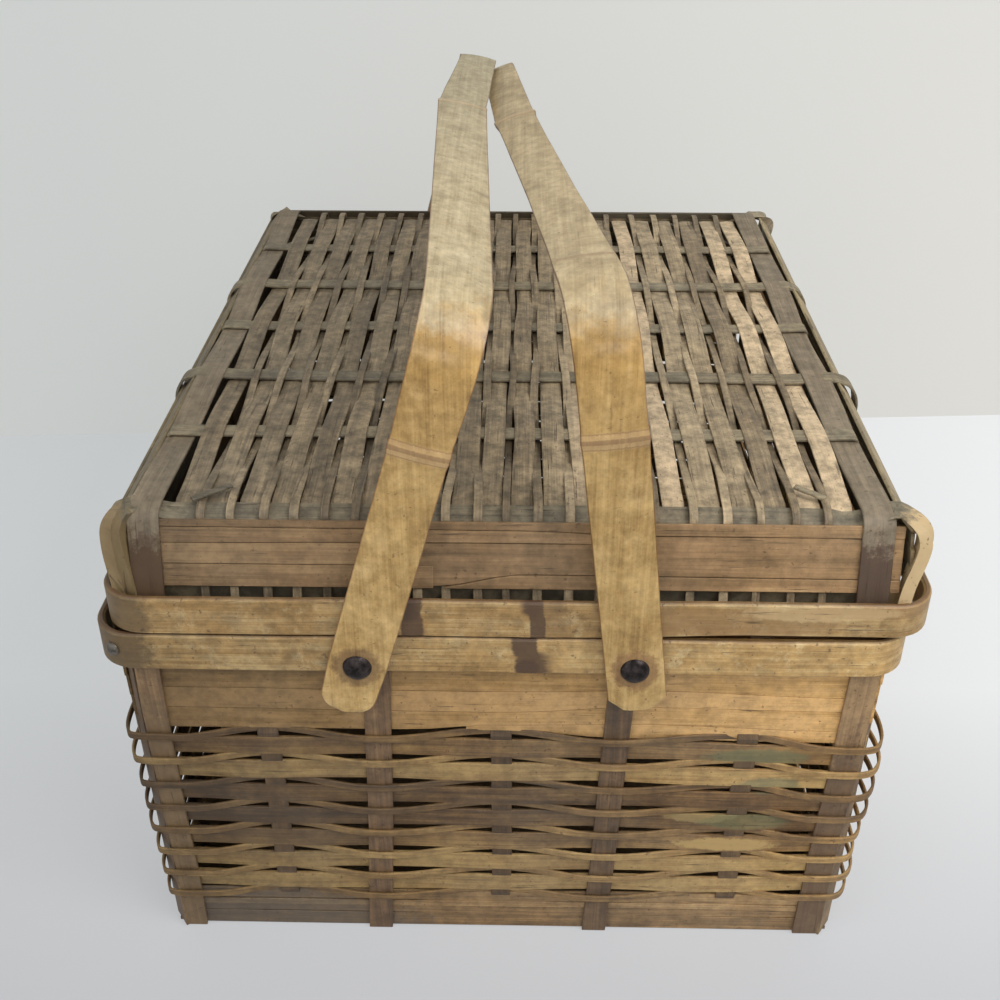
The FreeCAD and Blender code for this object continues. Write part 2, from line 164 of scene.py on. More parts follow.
def drift(rng, size, period):
    """A slow sideways wander, as hand-laid splints have."""
    phase, second = rng.uniform(0, 6.3), rng.uniform(0, 6.3)
    wave = period * rng.uniform(0.7, 1.3)

    def at(u):
        slow = math.sin(u * 6.3 / wave + phase)
        return size * (slow + 0.5 * math.sin(u * 14.0 / wave + second)) / 1.5

    return at


def smooth(p0, p1, p2, p3, t):
    """A value between p1 and p2 on an even curve through all four."""
    return 0.5 * (2 * p1 + (p2 - p0) * t + (2 * p0 - 5 * p1 + 4 * p2 - p3) * t * t
                  + (3 * p1 - p0 - 3 * p2 + p3) * t ** 3)


def eased(points):
    """The same points with two more between each pair, on an even curve."""
    out = []
    for before, a, b, after in zip(points[:1] + points, points, points[1:], points[2:] + points[-1:]):
        for t in (0.0, 0.33, 0.66):
            out.append(tuple(smooth(*four, t) for four in zip(before, a, b, after)))
    out.append(tuple(points[-1]))
    return out


def clear_selection():
    bpy.ops.object.select_all(action="DESELECT")


def place_in_mesh(obj, place=None):
    """Moves an object by a matrix and puts its place into its mesh, so its origin stays at the frame's."""
    clear_selection()
    obj.select_set(True)
    bpy.context.view_layer.objects.active = obj
    if place is not None:
        obj.matrix_world = place
    bpy.ops.object.transform_apply(location=True, rotation=True, scale=True)


def edit_mode(on):
    bpy.ops.object.mode_set(mode="EDIT" if on else "OBJECT")


def finish_modifiers(obj):
    for name in [m.name for m in obj.modifiers]:
        bpy.ops.object.modifier_apply(modifier=name)


def splint(path, width, thick, tone, place=Matrix.Identity(4), cuts=1, widths=None, edge=0.25,
           closed=False, marks=None, turns=None, crown=0.0):
    """Extrudes a flat strip along (run, sideways, out) points, sets it in place and gives it thickness.

    The path is the strip's outer face. Tone is its own shade, from 0 to 1, and marks are values
    along it, such as the scars of bamboo nodes. Turns are the section's angles about X, Y and Z
    at each point, in degrees, and the crown is how far its middle stands above its edges. The
    rim attribute is 1 along the strip's outline.
    """
    clear_selection()
    bpy.ops.mesh.primitive_grid_add(x_subdivisions=1, y_subdivisions=cuts, size=1)
    obj = bpy.context.active_object
    edit_mode(True)
    first = Vector(path[1]) - Vector(path[0])
    run = first.x if abs(first.x) > 1e-5 else 1e-5
    start = widths[0] if widths else 1.0
    bpy.ops.transform.resize(value=(run, width * start, 1))
    bpy.ops.transform.translate(value=(path[0][0] + run / 2, path[0][1], path[0][2]))
    low = path[0][0]
    if crown:
        half = width * start / 2
        for v in bmesh.from_edit_mesh(obj.data).verts:
            v.co.z -= crown * ((v.co.y - path[0][1]) / half) ** 2
    if turns:
        choose_end(obj, low, run, near=True)
        turn_section(turns[0], (0, 0, 0), path[0])
    choose_end(obj, low, run, near=False)
    bpy.ops.transform.translate(value=(first.x - run, first.y, first.z))
    if turns:
        turn_section(turns[1], (0, 0, 0), path[1])
    for i, (a, b) in enumerate(zip(path, path[1:])):
        if i > 0:
            step = Vector(b) - Vector(a)
            bpy.ops.mesh.extrude_region_move(TRANSFORM_OT_translate={"value": step})
            if turns:
                turn_section(turns[i + 1], turns[i], b)
        if widths and abs(widths[i + 1] - widths[i]) > 1e-4:
            bpy.ops.transform.resize(value=(1, widths[i + 1] / widths[i], 1), center_override=b)
    if closed:
        bpy.ops.mesh.select_all(action="SELECT")
        bpy.ops.mesh.remove_doubles(threshold=0.0002)
    outline = {v.index for v in bmesh.from_edit_mesh(obj.data).verts if v.is_boundary}
    edit_mode(False)
    for name in ("tone", "scar", "rim"):
        obj.data.attributes.new(name, "FLOAT", "POINT")
    tones, scars, rims = [obj.data.attributes[name].data for name in ("tone", "scar", "rim")]
    for i, item in enumerate(tones):
        item.value = tone
        rims[i].value = float(i in outline)
        if marks:
            scars[i].value = marks[min(i // (cuts + 1), len(path) - 1)]
    place_in_mesh(obj, place)
    solid = obj.modifiers.new("Thickness", "SOLIDIFY")
    solid.thickness = thick
    solid.offset = -1
    bevel = obj.modifiers.new("Edges", "BEVEL")
    bevel.width = edge * MM
    bevel.segments = 1
    bevel.limit_method = "ANGLE"
    bevel.angle_limit = math.radians(50)
    finish_modifiers(obj)
    return obj


def choose_end(obj, low, run, near):
    """Selects one end of a strip's first piece."""
    mesh = bmesh.from_edit_mesh(obj.data)
    for v in mesh.verts:
        v.select = (abs(v.co.x - low) < abs(run) / 2) == near
    mesh.select_flush(True)
    mesh.select_flush(False)
    bmesh.update_edit_mesh(obj.data)


def turn_section(now, before, centre):
    for axis, a, b in zip("XYZ", now, before):
        if abs(a - b) > 0.01:
            bpy.ops.transform.rotate(value=math.radians(b - a), orient_axis=axis, center_override=centre)


def gather(node, pieces, body, key, parts=("",), suffix="_skin"):
    """Joins like splints into one piece that stands for its frame nodes, dresses it and sets it on its body."""
    clear_selection()
    for piece in pieces:
        piece.select_set(True)
    bpy.context.view_layer.objects.active = pieces[0]
    if len(pieces) > 1:
        bpy.ops.object.join()
    obj = bpy.context.active_object
    obj.name = obj.data.name = node + suffix
    edit_mode(True)
    bpy.ops.mesh.select_all(action="SELECT")
    bpy.ops.mesh.normals_make_consistent(inside=False)
    edit_mode(False)
    bpy.ops.object.shade_smooth_by_angle(angle=math.radians(35))
    obj.data.materials.clear()
    obj.data.materials.append(finish(key))
    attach(obj, body)
    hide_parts(*[node + part for part in parts])


def half_at(side, z):
    """Half size of the body's slats, outside, at a height."""
    s = sizes()
    share = z / s.parting
    if side in ("near", "far"):
        return s.base_y + (s.rim_y - s.base_y) * share
    return s.base_x + (s.rim_x - s.base_x) * share


def lid_half_at(side, z):
    """Half size of the lid's slats, outside, at a height."""
    s = sizes()
    share = (z - s.lid_foot) / (s.lid_top - s.lid_foot)
    if side in ("near", "far"):
        return s.rim_y + (s.lid_top_y - s.rim_y) * share
    return s.rim_x + (s.lid_top_x - s.rim_x) * share


def wall(side, low, high, half, shift=0.0):
    """A leaning wall's frame (along it, up its slope, out of it), its slope and the height it starts from."""
    lean = math.atan2(half(side, high) - half(side, low), high - low)
    out = Vector((0, -math.cos(lean), -math.sin(lean)))
    up = Vector((0, -math.sin(lean), math.cos(lean)))
    turned = Matrix((Vector((1, 0, 0)), up, out)).transposed().to_4x4()
    origin = Matrix.Translation((0, -half(side, low), low))
    turn = Matrix.Rotation(math.radians(TURNS[side]), 4, "Z")
    return Matrix.Translation((shift, 0, 0)) @ turn @ origin @ turned, math.cos(lean), low


CORNER_TURN = 36
UPRIGHT = Matrix.Rotation(math.radians(90), 4, "Z")
STANDING = Matrix.Rotation(math.radians(90), 4, "X")


# Finishes


def linear(code):
    """Linear colour of an sRGB hex code."""
    parts = [int(code[i:i + 2], 16) / 255 for i in (0, 2, 4)]
    return tuple([c / 12.92 if c <= 0.04045 else ((c + 0.055) / 1.055) ** 2.4 for c in parts] + [1.0])


def add(tree, kind, inputs=(), give=0, **settings):
    """Adds a shader node with its settings, and gives one of its outputs.

    Inputs go by name or in the node's order. Each is a value, an sRGB hex code or an output to link from.
    """
    node = tree.nodes.new("ShaderNode" + kind)
    for name, value in settings.items():
        setattr(node, name, value)
    for name, value in inputs.items() if isinstance(inputs, dict) else enumerate(inputs):
        if isinstance(value, bpy.types.NodeSocket):
            tree.links.new(value, node.inputs[name])
        else:
            node.inputs[name].default_value = linear(value) if isinstance(value, str) else value
    return node.outputs[give] if node.outputs else None


def new_finish(name):
    """An empty material, and the object's own coordinates in it, which are in real metres."""
    made = bpy.data.materials.new(name)
    made.use_nodes = True
    tree = made.node_tree
    tree.nodes.clear()
    return made, tree, add(tree, "TexCoord", give="Object")


def laid(tree, base, over, value, low, high, amount=1.0):
    """Lays a shade over a base colour as a value runs from low to high."""
    share = add(tree, "MapRange", (value, low, high, 0.0, amount))
    return add(tree, "Mix", {0: share, 6: base, 7: over}, 2, data_type="RGBA")


def patches(tree, place, base, over, size, detail, rough, low, high, amount):
    """Lays a shade over a base colour in patches of a size in millimetres."""
    value = add(tree, "TexNoise", {
        "Vector": place, "Scale": 1 / (size * MM), "Detail": detail, "Roughness": rough})
    return laid(tree, base, over, value, low, high, amount)


def scaled_for_shade_and_dirt(tree, base, value, low, high, dark, light):
    """Makes a base colour darker or brighter as a value runs from low to high: painted light and shade across
    the basket, and dirt.
    """
    share = add(tree, "MapRange", (value, low, high, dark, light))
    return add(tree, "VectorMath", {0: base, "Scale": share}, operation="SCALE")


def stain(tree, place, base, centre, size, over, amount, ragged=0.5):
    """Lays a shade over a base colour in one ragged patch. The size is its half size along X, Y and Z."""
    away = add(tree, "VectorMath", (place, centre), operation="SUBTRACT")
    away = add(tree, "VectorMath", (away, size), operation="DIVIDE")
    away = add(tree, "VectorMath", (away,), "Value", operation="LENGTH")
    torn = add(tree, "TexNoise", {"Vector": place, "Scale": 1 / (4 * MM), "Detail": 6.0, "Roughness": 0.7})
    torn = add(tree, "Math", (torn, 2.0 * ragged), operation="MULTIPLY")
    return laid(tree, base, over, add(tree, "Math", (away, torn)), 1.12 + ragged, 0.88 + ragged, amount)


# Bamboo's fibres are about 0.9 mm apart and run for 45 mm or more: (across, along, shift, detail, roughness)
FIBRE = (0.9 * MM, 45 * MM)
GRAINS = (
    (1.0, 1.0, (0.0, 0.0, 0.0), 4.0, 0.65), (0.28, 0.5, (3.1, 1.7, 5.3), 3.0, 0.6),
    (0.62, 1.6, (8.1, 2.7, 1.3), 3.0, 0.6))


def grain_of(tree, place, axis):
    """Fibres, the same with broader streaks, and the cracks between them, all running across the given axis."""
    found = []
    for across, along, shift, detail, rough in GRAINS:
        scale = tuple(across / FIBRE[0] if a == axis else along / FIBRE[1] for a in "XYZ")
        drawn = add(tree, "Mapping", {"Vector": place, "Scale": scale, "Location": shift})
        found.append(add(tree, "TexNoise", {
            "Vector": drawn, "Scale": 1.0, "Detail": detail, "Roughness": rough}))
    fibre, streak, crack = found
    return fibre, add(tree, "Math", (fibre, streak)), add(tree, "MapRange", (crack, 0.36, 0.30, 0.0, 1.0))


def shaded(tree, share, shades):
    """A ramp of sRGB hex codes, or names of the panel's colours, evenly spaced from dark to light."""
    panel = bpy.context.scene.creel_colours
    codes = [linear(getattr(panel, word, word)) for word in shades.split()]
    drawn = add(tree, "ValToRGB", (share,))
    stops = drawn.node.color_ramp.elements
    stops[0].color = codes[0]
    stops[1].color = codes[-1]
    for i, code in enumerate(codes[1:-1]):
        stops.new((i + 1) / (len(codes) - 1)).color = code
    return drawn


def surface(tree, colour, rough, relief, strength, depth, metallic=0.0):
    """Closes a material with its colour, its sheen and its small relief of a depth in metres."""
    bump = add(tree, "Bump", {"Height": relief, "Strength": strength, "Distance": depth})
    skin = add(tree, "BsdfPrincipled", {
        "Base Color": colour, "Metallic": metallic, "Roughness": rough, "Normal": bump})
    add(tree, "OutputMaterial", {"Surface": skin})


def bamboo(name, shades, axis, rough=0.62, weather=0.35, weather_shade="6B6558", pale=None,
           strength=0.4, painted_light_left_right=(0.86, 1.10), spread_of=(1.45, 2.5), grime=0.5, rim=0.0, stains=()):
    """Split bamboo, aged indoors: long silky fibres, blotches of handling and damp, cracks and dark specks.

    Shades run from dark to light. The fibres cross the given axis. The two side values are the brightness
    at the basket's left and right: painted shade at the left and painted light at the right.
    Stains are (place, half sizes, sRGB code, amount).
    """
    made, tree, place = new_finish(name)
    tone, scar, outline = [
        add(tree, "Attribute", give="Fac", attribute_name=painted) for painted in ("tone", "scar", "rim")]
    fibre, grain, crack = grain_of(tree, place, axis)
    blotch = add(tree, "TexNoise", {"Vector": place, "Scale": 1 / (18 * MM), "Detail": 6.0, "Roughness": 0.68})
    relief = add(tree, "Math", (grain, blotch))
    share = add(tree, "MapRange", (add(tree, "Math", (relief, tone)), *spread_of, 0.0, 1.0))
    colour = shaded(tree, share, shades)
    colour = patches(tree, place, colour, weather_shade, 75, 4.0, 0.6, 0.44, 0.64, weather)
    if pale:
        colour = patches(tree, place, colour, pale, 11, 8.0, 0.75, 0.56, 0.63, 0.6)
    # Painted light and shade: the colour darkens towards the left and brightens towards the right
    across = add(tree, "SeparateXYZ", (place,), "X")
    colour = scaled_for_shade_and_dirt(tree, colour, across, -0.16, 0.16, *painted_light_left_right)
    dirt = add(tree, "TexNoise", {"Vector": place, "Scale": 1 / (6 * MM), "Detail": 8.0, "Roughness": 0.7})
    colour = scaled_for_shade_and_dirt(tree, colour, dirt, 0.36, 0.62, 1 - 0.55 * grime, 1 + 0.16 * grime)
    for own in stains:
        colour = stain(tree, place, colour, *own)
    colour = patches(tree, place, colour, "4A3524", 2.4, 2.0, 0.6, 0.66, 0.72, 0.6)
    colour = laid(tree, colour, "33261A", crack, 0.0, 1.0, 0.6)
    torn = add(tree, "Math", (scar, add(tree, "Math", (fibre, 0.25))), operation="MULTIPLY")
    colour = laid(tree, colour, "4A3524", torn, 0.3, 0.62, 0.9)
    # Painted shade along the strip's outline
    if rim:
        colour = laid(tree, colour, "4A2F20", outline, 0.86, 0.99, rim)
    sheen = add(tree, "MapRange", (grain, 0.6, 1.4, rough - 0.12, rough + 0.14))
    relief = add(tree, "Math", (relief, crack), operation="SUBTRACT")
    surface(tree, colour, sheen, relief, strength, 0.4 * MM)
    return made


def handle_bamboo(name, pivot_x, halo, grip_near, grip_far):
    """A handle's bent bamboo: glossy ochre legs and bends, and a dull grip worn to pale beige."""
    made, tree, place = new_finish(name)
    marks, outline = [add(tree, "Attribute", give="Fac", attribute_name=painted) for painted in ("scar", "rim")]
    along, up = [add(tree, "SeparateXYZ", (place,), axis) for axis in "YZ"]
    fibre, grain, crack = grain_of(tree, place, "X")
    blotch = add(tree, "TexNoise", {"Vector": place, "Scale": 1 / (16 * MM), "Detail": 7.0, "Roughness": 0.7})
    share = add(tree, "Math", (add(tree, "Math", (grain, 0.45), operation="MULTIPLY"), blotch))
    share = add(tree, "MapRange", (share, 0.66, 1.30, 0.0, 1.0))
    # The edges between leg, bend and grip are torn by up to 11 mm
    torn = add(tree, "TexNoise", {"Vector": place, "Scale": 1 / (7 * MM), "Detail": 6.0, "Roughness": 0.7})
    torn = add(tree, "Math", (torn, 0.5), operation="SUBTRACT")
    height = add(tree, "Math", (up, add(tree, "Math", (torn, 0.022), operation="MULTIPLY")))
    leg = shaded(tree, share, "strap_dark A5854F BB9B63 strap_light")
    bend = shaded(tree, share, "7A5A2E 9F7D46 B49055 C6A56C")
    colour = laid(tree, leg, bend, height, 0.262, 0.305)
    colour = patches(tree, place, colour, "C2A574", 20, 5.0, 0.6, 0.55, 0.68, 0.35)
    grip = laid(tree, shaded(tree, share, grip_near), shaded(tree, share, grip_far), along, -0.12, 0.16)
    grip = patches(tree, place, grip, "94825F", 9, 9.0, 0.78, 0.44, 0.36, 0.45)
    beyond = add(tree, "MapRange", (along, 0.10, 0.14, 0.0, 0.02))
    worn = add(tree, "MapRange", (add(tree, "Math", (height, beyond)), 0.3170, 0.3255, 0.0, 1.0))
    colour = laid(tree, colour, grip, worn, 0.0, 1.0)
    for y in (-0.203, 0.203):
        rivet = (pivot_x, y, PIVOT_HEIGHT)
        colour = stain(tree, place, colour, rivet, (0.0098, 0.02, 0.0098), halo, 0.55, 0.35)
    dirt = add(tree, "TexNoise", {"Vector": place, "Scale": 1 / (5 * MM), "Detail": 8.0, "Roughness": 0.7})
    colour = scaled_for_shade_and_dirt(tree, colour, dirt, 0.38, 0.6, 0.78, 1.05)
    colour = patches(tree, place, colour, "5A4128", 2.1, 2.0, 0.6, 0.68, 0.73, 0.5)
    colour = laid(tree, colour, "4B3622", crack, 0.0, 1.0, 0.2)
    # Node rings: a pale swelling with a dark ridge and a fainter line beside it
    colour = laid(tree, colour, "B89A76", marks, 0.12, 0.34, 0.35)
    ridge = add(tree, "Math", (marks, add(tree, "Math", (fibre, 0.25), operation="MULTIPLY")))
    colour = laid(tree, colour, "6E4E33", ridge, 0.86, 0.96, 0.55)
    beside = add(tree, "Math", (add(tree, "Math", (ridge, 0.42), operation="SUBTRACT"),), operation="ABSOLUTE")
    line = add(tree, "MapRange", (beside, 0.10, 0.03, 0.0, 0.4))
    ring = add(tree, "MapRange", (marks, 0.05, 0.15, 0.0, 1.0))
    line = add(tree, "Math", (line, ring), operation="MULTIPLY")
    colour = laid(tree, colour, "6E4E33", line, 0.0, 1.0)
    # Painted shade along the strap's outline
    colour = laid(tree, colour, "5B2F20", outline, 0.80, 0.97, 0.7)
    relief = add(tree, "Math", (add(tree, "Math", (grain, blotch)), crack), operation="SUBTRACT")
    surface(tree, colour, add(tree, "MapRange", (worn, 0.0, 1.0, 0.27, 0.52)), relief, 0.22, 0.35 * MM)
    return made


def forged_iron(name, dark, light, rough):
    """Hammered iron with an old brown-black skin: dull, with worn bright spots."""
    made, tree, place = new_finish(name)
    dents = add(tree, "TexNoise", {"Vector": place, "Scale": 1 / (3 * MM), "Detail": 4.0, "Roughness": 0.6})
    surface(tree, laid(tree, dark, light, dents, 0.4, 0.68), rough, dents, 0.5, 0.3 * MM, 0.75)
    return made


# Each slot and grain direction: (material, shades from dark to light, options). The key's last letter is
# the axis that the fibres cross.
BAMBOO = {
    # Split bamboo, planed and browned with age: warm, silky wall slats, with painted shade much darker at the
    # left
    "slats_Z": ("aged_bamboo_slats", "674924 slat_dark A68048 slat_light", dict(
        weather=0.12, painted_light_left_right=(0.30, 1.50))),
    # The same on the lid's near wall, greyer from dust
    "lid_slats_Z": ("aged_bamboo_lid_slats", "4F3C22 735938 8F704C AA8B62", dict(
        weather=0.15, painted_light_left_right=(0.50, 1.42), spread_of=(1.3, 2.6))),
    # Weathered bamboo of the lid's other walls: grey and flat
    "lid_side_Z": ("weathered_bamboo_lid_sides", "4A3F2D 6B5D43 8E7C5B AC9871", dict(
        weather=0.35, painted_light_left_right=(0.75, 1.18))),
    # Rough split bamboo wales: brown, with the rubbed patch and the traces of green paint at the right
    "wide_Z": ("aged_bamboo_wide_wales", "4A341C 6D5130 8E6E41 AA8C58", dict(
        weather=0.22, painted_light_left_right=(0.52, 1.33), stains=(
            ((0.102, -0.185, 0.0628), (0.022, 0.02, 0.0042), "B4975F", 0.75),
            ((0.0885, -0.185, 0.081), (0.016, 0.02, 0.004), "A38E5C", 0.5),
            ((0.110, -0.188, 0.1185), (0.022, 0.02, 0.005), "5F6A4C", 0.55),
            ((0.118, -0.188, 0.101), (0.014, 0.02, 0.005), "5B6850", 0.55),
            ((0.109, -0.188, 0.078), (0.020, 0.02, 0.005), "626B48", 0.45),
            ((-0.16, -0.19, 0.0), (0.09, 0.05, 0.03), "4F4A42", 0.5),
            ((-0.1, -0.19, 0.07), (0.05, 0.03, 0.02), "43372A", 0.35)))),
    # Bamboo at the foot: painted shade at the left, and greyer at the lower left
    "base_Z": ("aged_bamboo_base_slats", "4E3A22 705636 91724A AE9063", dict(
        weather=0.2, painted_light_left_right=(0.58, 1.50), stains=(
            ((-0.13, -0.19, 0.0), (0.09, 0.05, 0.03), "55504A", 0.5),))),
    # Thin strips split from bamboo: tan, and darker than the slats
    "narrow_Z": ("aged_bamboo_narrow_wales", "46341E 694F2F 8A6B3F A98B58", dict(
        weather=0.15, painted_light_left_right=(0.56, 1.28))),
    # Smoked bamboo stakes: chocolate brown, nearly even
    "stake_X": ("smoked_bamboo_stakes_end", "3E2E20 5C4630 795D40 9A7D58", dict(
        weather=0.12, painted_light_left_right=(0.88, 1.08), spread_of=(1.4, 2.6), stains=(
            ((0.147, -0.185, 0.045), (0.02, 0.03, 0.082), "4C392D", 0.65),
            ((-0.147, -0.187, 0.04), (0.02, 0.03, 0.11), "5A4A33", 0.6)))),
    "stake_Y": ("smoked_bamboo_stakes_side", "3E2E20 5C4630 755C3F 92764F", dict(weather=0.2)),
    "inner_X": ("smoked_bamboo_inner_stakes_end", "3A2A18 54402A 6C5537", dict(weather=0.0)),
    "inner_Y": ("smoked_bamboo_inner_stakes_side", "3A2A18 54402A 6C5537", dict(weather=0.0)),
    # Split bamboo left bare in dust and light: grey, rough, with single pale splints
    "lid_X": ("weathered_bamboo_lid_long", "lid_dark 6F5F48 958366 lid_light", dict(
        weather=0.22, weather_shade="6A6456", painted_light_left_right=(0.80, 1.42), spread_of=(1.25, 2.7),
        grime=0.9, strength=0.6)),
    # The same across the lid, with a clean pale loop at the near right corner and a brown one at the left
    "lid_Y": ("weathered_bamboo_lid_cross", "lid_dark 655A46 877A60 lid_light", dict(
        weather=0.3, weather_shade="66655A", painted_light_left_right=(0.85, 1.28), spread_of=(1.25, 2.6), grime=0.8, stains=(
            ((0.163, -0.185, 0.215), (0.016, 0.02, 0.024), "CBAE80", 0.75),
            ((-0.153, -0.187, 0.212), (0.014, 0.02, 0.026), "7A6542", 0.75)))),
    # Corner straps: weathered grey on top and dark brown where they fold down the near wall
    "strap_X": ("weathered_bamboo_straps", "443A2C 685A46 857660 9F8E72", dict(
        weather=0.25, painted_light_left_right=(0.88, 1.12), spread_of=(1.25, 2.5), stains=(
            ((-0.14, -0.2, 0.20), (0.03, 0.024, 0.034), "432E18", 0.92),
            ((0.146, -0.2, 0.20), (0.03, 0.024, 0.034), "463224", 0.90)))),
    # Hoops of thick bamboo with their skin on: yellow, smoother, rubbed pale, with painted shade along their
    # edges
    "body_band_Z": ("smooth_bamboo_body_band", "6F5026 997641 B6925A CDB07A", dict(
        rough=0.5, weather=0.08, pale="CFB686", strength=0.3, painted_light_left_right=(0.56, 1.05), grime=0.6, rim=0.6,
        spread_of=(1.2, 2.3), stains=(
            ((0.0105, -0.196, 0.173), (0.005, 0.01, 0.0035), "3A291C", 0.8),
            # Painted shade at the band's left corner
            ((-0.168, -0.185, 0.178), (0.03, 0.03, 0.02), "4E3E28", 0.75)))),
    "lid_band_Z": ("smooth_bamboo_lid_band", "6F5026 94723F B08B53 CAAC78", dict(
        rough=0.5, weather=0.08, pale="C9AF7F", strength=0.3, painted_light_left_right=(0.70, 0.80), grime=0.6, rim=0.6,
        spread_of=(1.2, 2.3), stains=(
            ((-0.0355, -0.196, 0.2035), (0.0045, 0.01, 0.008), "3E2C1D", 0.85),
            # Painted shade at the band's left corner
            ((-0.165, -0.185, 0.196), (0.028, 0.03, 0.02), "5A482E", 0.75),
            ((0.09, -0.197, 0.196), (0.045, 0.012, 0.007), "8A6A43", 0.55),
            ((0.15, -0.197, 0.202), (0.03, 0.012, 0.0035), "8A6A43", 0.6),
            ((0.125, -0.197, 0.201), (0.03, 0.012, 0.004), "CDB283", 0.4)))),
    # Plain split bamboo of the hidden bottom
    "bottom_X": ("bamboo_bottom_splints", "5F4A2E 7E6540 9A7D50", {}),
    "bottom_Y": ("bamboo_bottom_cross", "5F4A2E 7E6540 9A7D50", {}),
}
# Bent bamboo straps, oiled by hands: amber legs, beige grips, and a dark halo at each rivet
HANDLE_BAMBOO = {
    "left_handle": ("5A3C26", "8A7956 AE9C78 C3B18D D6C5A0", "786B52 978A6B AA9D7E BBAF90"),
    "right_handle": ("6A4229", "82704F A38F6B B9A580 CDBA93", "836F4F A28D67 B7A27B C9B48D"),
}
# Hand-forged metal: nearly black rivets, and greyer hinge leaves
METALS = {
    "iron": ("forged_iron_rivets", "1E1817", "4A4240", 0.42),
    "steel": ("forged_steel_hinges", "4B4640", "7C776E", 0.5),
}
_finishes = {}


def finish(key):
    """The finish of a material slot and grain direction, made once."""
    if key not in _finishes:
        if key in BAMBOO:
            name, shades, options = BAMBOO[key]
            _finishes[key] = bamboo(name, shades, key[-1], **options)
        elif key in HANDLE_BAMBOO:
            _finishes[key] = handle_bamboo(key + "_bent_bamboo", PIVOT_X[key], *HANDLE_BAMBOO[key])
        else:
            _finishes[key] = forged_iron(*METALS[key])
    return _finishes[key]


# Weaving rules


WALES = spread(BASE_TOP, WALE_TOP, 8)
WIDE_WALES = [(a + b) / 2 for a, b in zip(WALES, WALES[1:])]
# Widths of the woven strips
OUTER_STAKE = 11.2 * MM
INNER_STAKE = 9.0 * MM
NARROW_WALE = 3.6 * MM
# The near wall's stakes: places at the floor and at a measured height, widths in millimetres and tones
NEAR_FEET = (-0.1479, -0.0581, 0.0447, 0.1463)
NEAR_HEADS = (-0.1458, -0.0505, 0.0502, 0.1482)
NEAR_HEADS_AT = 0.169
NEAR_STAKES = ((10.4, 0.85), (11.2, 0.55), (11.2, 0.3), (12.2, 1.05))
# Joint lines of the near wall's rim slats, as (place, height)
NEAR_RIM_LINES = (
    [(-0.15, 0.1317), (0.0, 0.1316), (0.055, 0.1278), (0.15, 0.1266)],
    [(-0.15, 0.1317), (-0.04, 0.1317), (0.0, 0.1350), (0.06, 0.1362), (0.15, 0.1333)],
    [(-0.14, 0.1434), (0.0, 0.1424), (0.06, 0.1463), (0.145, 0.1449)],
    [(-0.14, 0.1548), (0.0, 0.1541), (0.06, 0.1557), (0.145, 0.1527)],
    [(0.0, STAKE_TOP)],
)


def body_wall(side):
    return wall(side, 0.0, sizes().parting, half_at)


def outer_places(side):
    if side == "near":
        return [-0.1451, -0.0545, 0.0473, 0.1470]
    return spread(-0.1465, 0.1465, 4) if side == "far" else spread(-0.172, 0.172, 5)


def inner_places(side):
    if side == "near":
        return [-0.100, 0.0, 0.105]
    return spread(-0.098, 0.098, 3) if side == "far" else spread(-0.129, 0.129, 4)


def crossing_knots(side, at_outer, at_inner):
    """Knots of a run along a wall that rises at the outer stakes and falls at the inner ones."""
    return sorted([(u, at_outer) for u in outer_places(side)] + [(u, at_inner) for u in inner_places(side)])


def settle(side, u, z):
    """How far the weave has moved up or down at a place: it has slumped towards the near right corner."""
    row = (z - BASE_TOP) / (WALE_TOP - BASE_TOP)
    share = 0.0
    if side == "near":
        share = clamp((u - 0.03) / 0.12) ** 1.4
    elif side == "right":
        share = clamp((0.10 - u) / 0.28)
    return share * max(-3.3, 3.3 - 9.3 * row) * MM


def wide_wale(side, z, rng):
    """A wide wale along one wall of the body: behind the outer stakes and before the inner ones."""
    place, slope, _ = body_wall(side)
    out = crossing_knots(side, 0.0, 1.0 * MM)
    rise = [(u, rng.uniform(-0.5, 0.5) * MM) for u, _ in out]
    tall, tone = rng.uniform(9.7, 10.9) * MM, rng.uniform(0.0, 1.0)
    lift = drift(rng, 0.4 * MM, 0.12)
    reach = half_at(ACROSS[side], z) - (6.5 if side == "near" else 8.5) * MM
    path = [(u, z / slope + swing(u, rise) + settle(side, u, z) + lift(u), swing(u, out))
            for u in spread(-reach, reach, 45)]
    return splint(path, tall, sizes().slat, tone, place)


def slat_between(at, low, high, start, end, out, tone, gap=0.25, count=26):
    """A slat whose lower and upper edges follow their own heights along a wall."""
    place, slope, floor = at
    talls, path = [], []
    for u in spread(start, end, count):
        bottom, top = swing(u, low), swing(u, high)
        talls.append((top - bottom) / slope - gap * MM)
        path.append((u, ((top + bottom) / 2 - floor) / slope, out))
    base = max(talls)
    return splint(path, base, sizes().slat, tone, place, widths=[t / base for t in talls])


def slat_group(side, low, high, shares, rng, tones):
    """Plain slats stacked between two heights, with hair-wide joints."""
    rows, z = [], low
    for share in shares:
        tall = (high - low) * share
        reach = half_at(ACROSS[side], z + tall / 2) - 8 * MM
        bend = [(u, rng.uniform(-0.3, 0.3) * MM) for u in spread(-reach, reach, 5)]
        lower = [(u, z + dz) for u, dz in bend]
        upper = [(u, z + tall + dz) for u, dz in bend]
        out, tone = rng.uniform(-0.2, 0.15) * MM, rng.uniform(*tones)
        rows.append(slat_between(body_wall(side), lower, upper, -reach, reach, out, tone))
        z += tall
    return rows


def near_rim_slats(rng):
    """The near wall's rim slats: their joints run unevenly, as measured from the picture."""
    reach = half_at("left", 0.15) - 8.5 * MM
    starts = (-0.015, -reach, -reach, -reach)
    tones = (1.0, 0.9, 1.05, 0.8)
    return [slat_between(body_wall("near"), low, high, start, reach, rng.uniform(-0.15, 0.15) * MM, tone)
            for low, high, start, tone in zip(NEAR_RIM_LINES, NEAR_RIM_LINES[1:], starts, tones)]


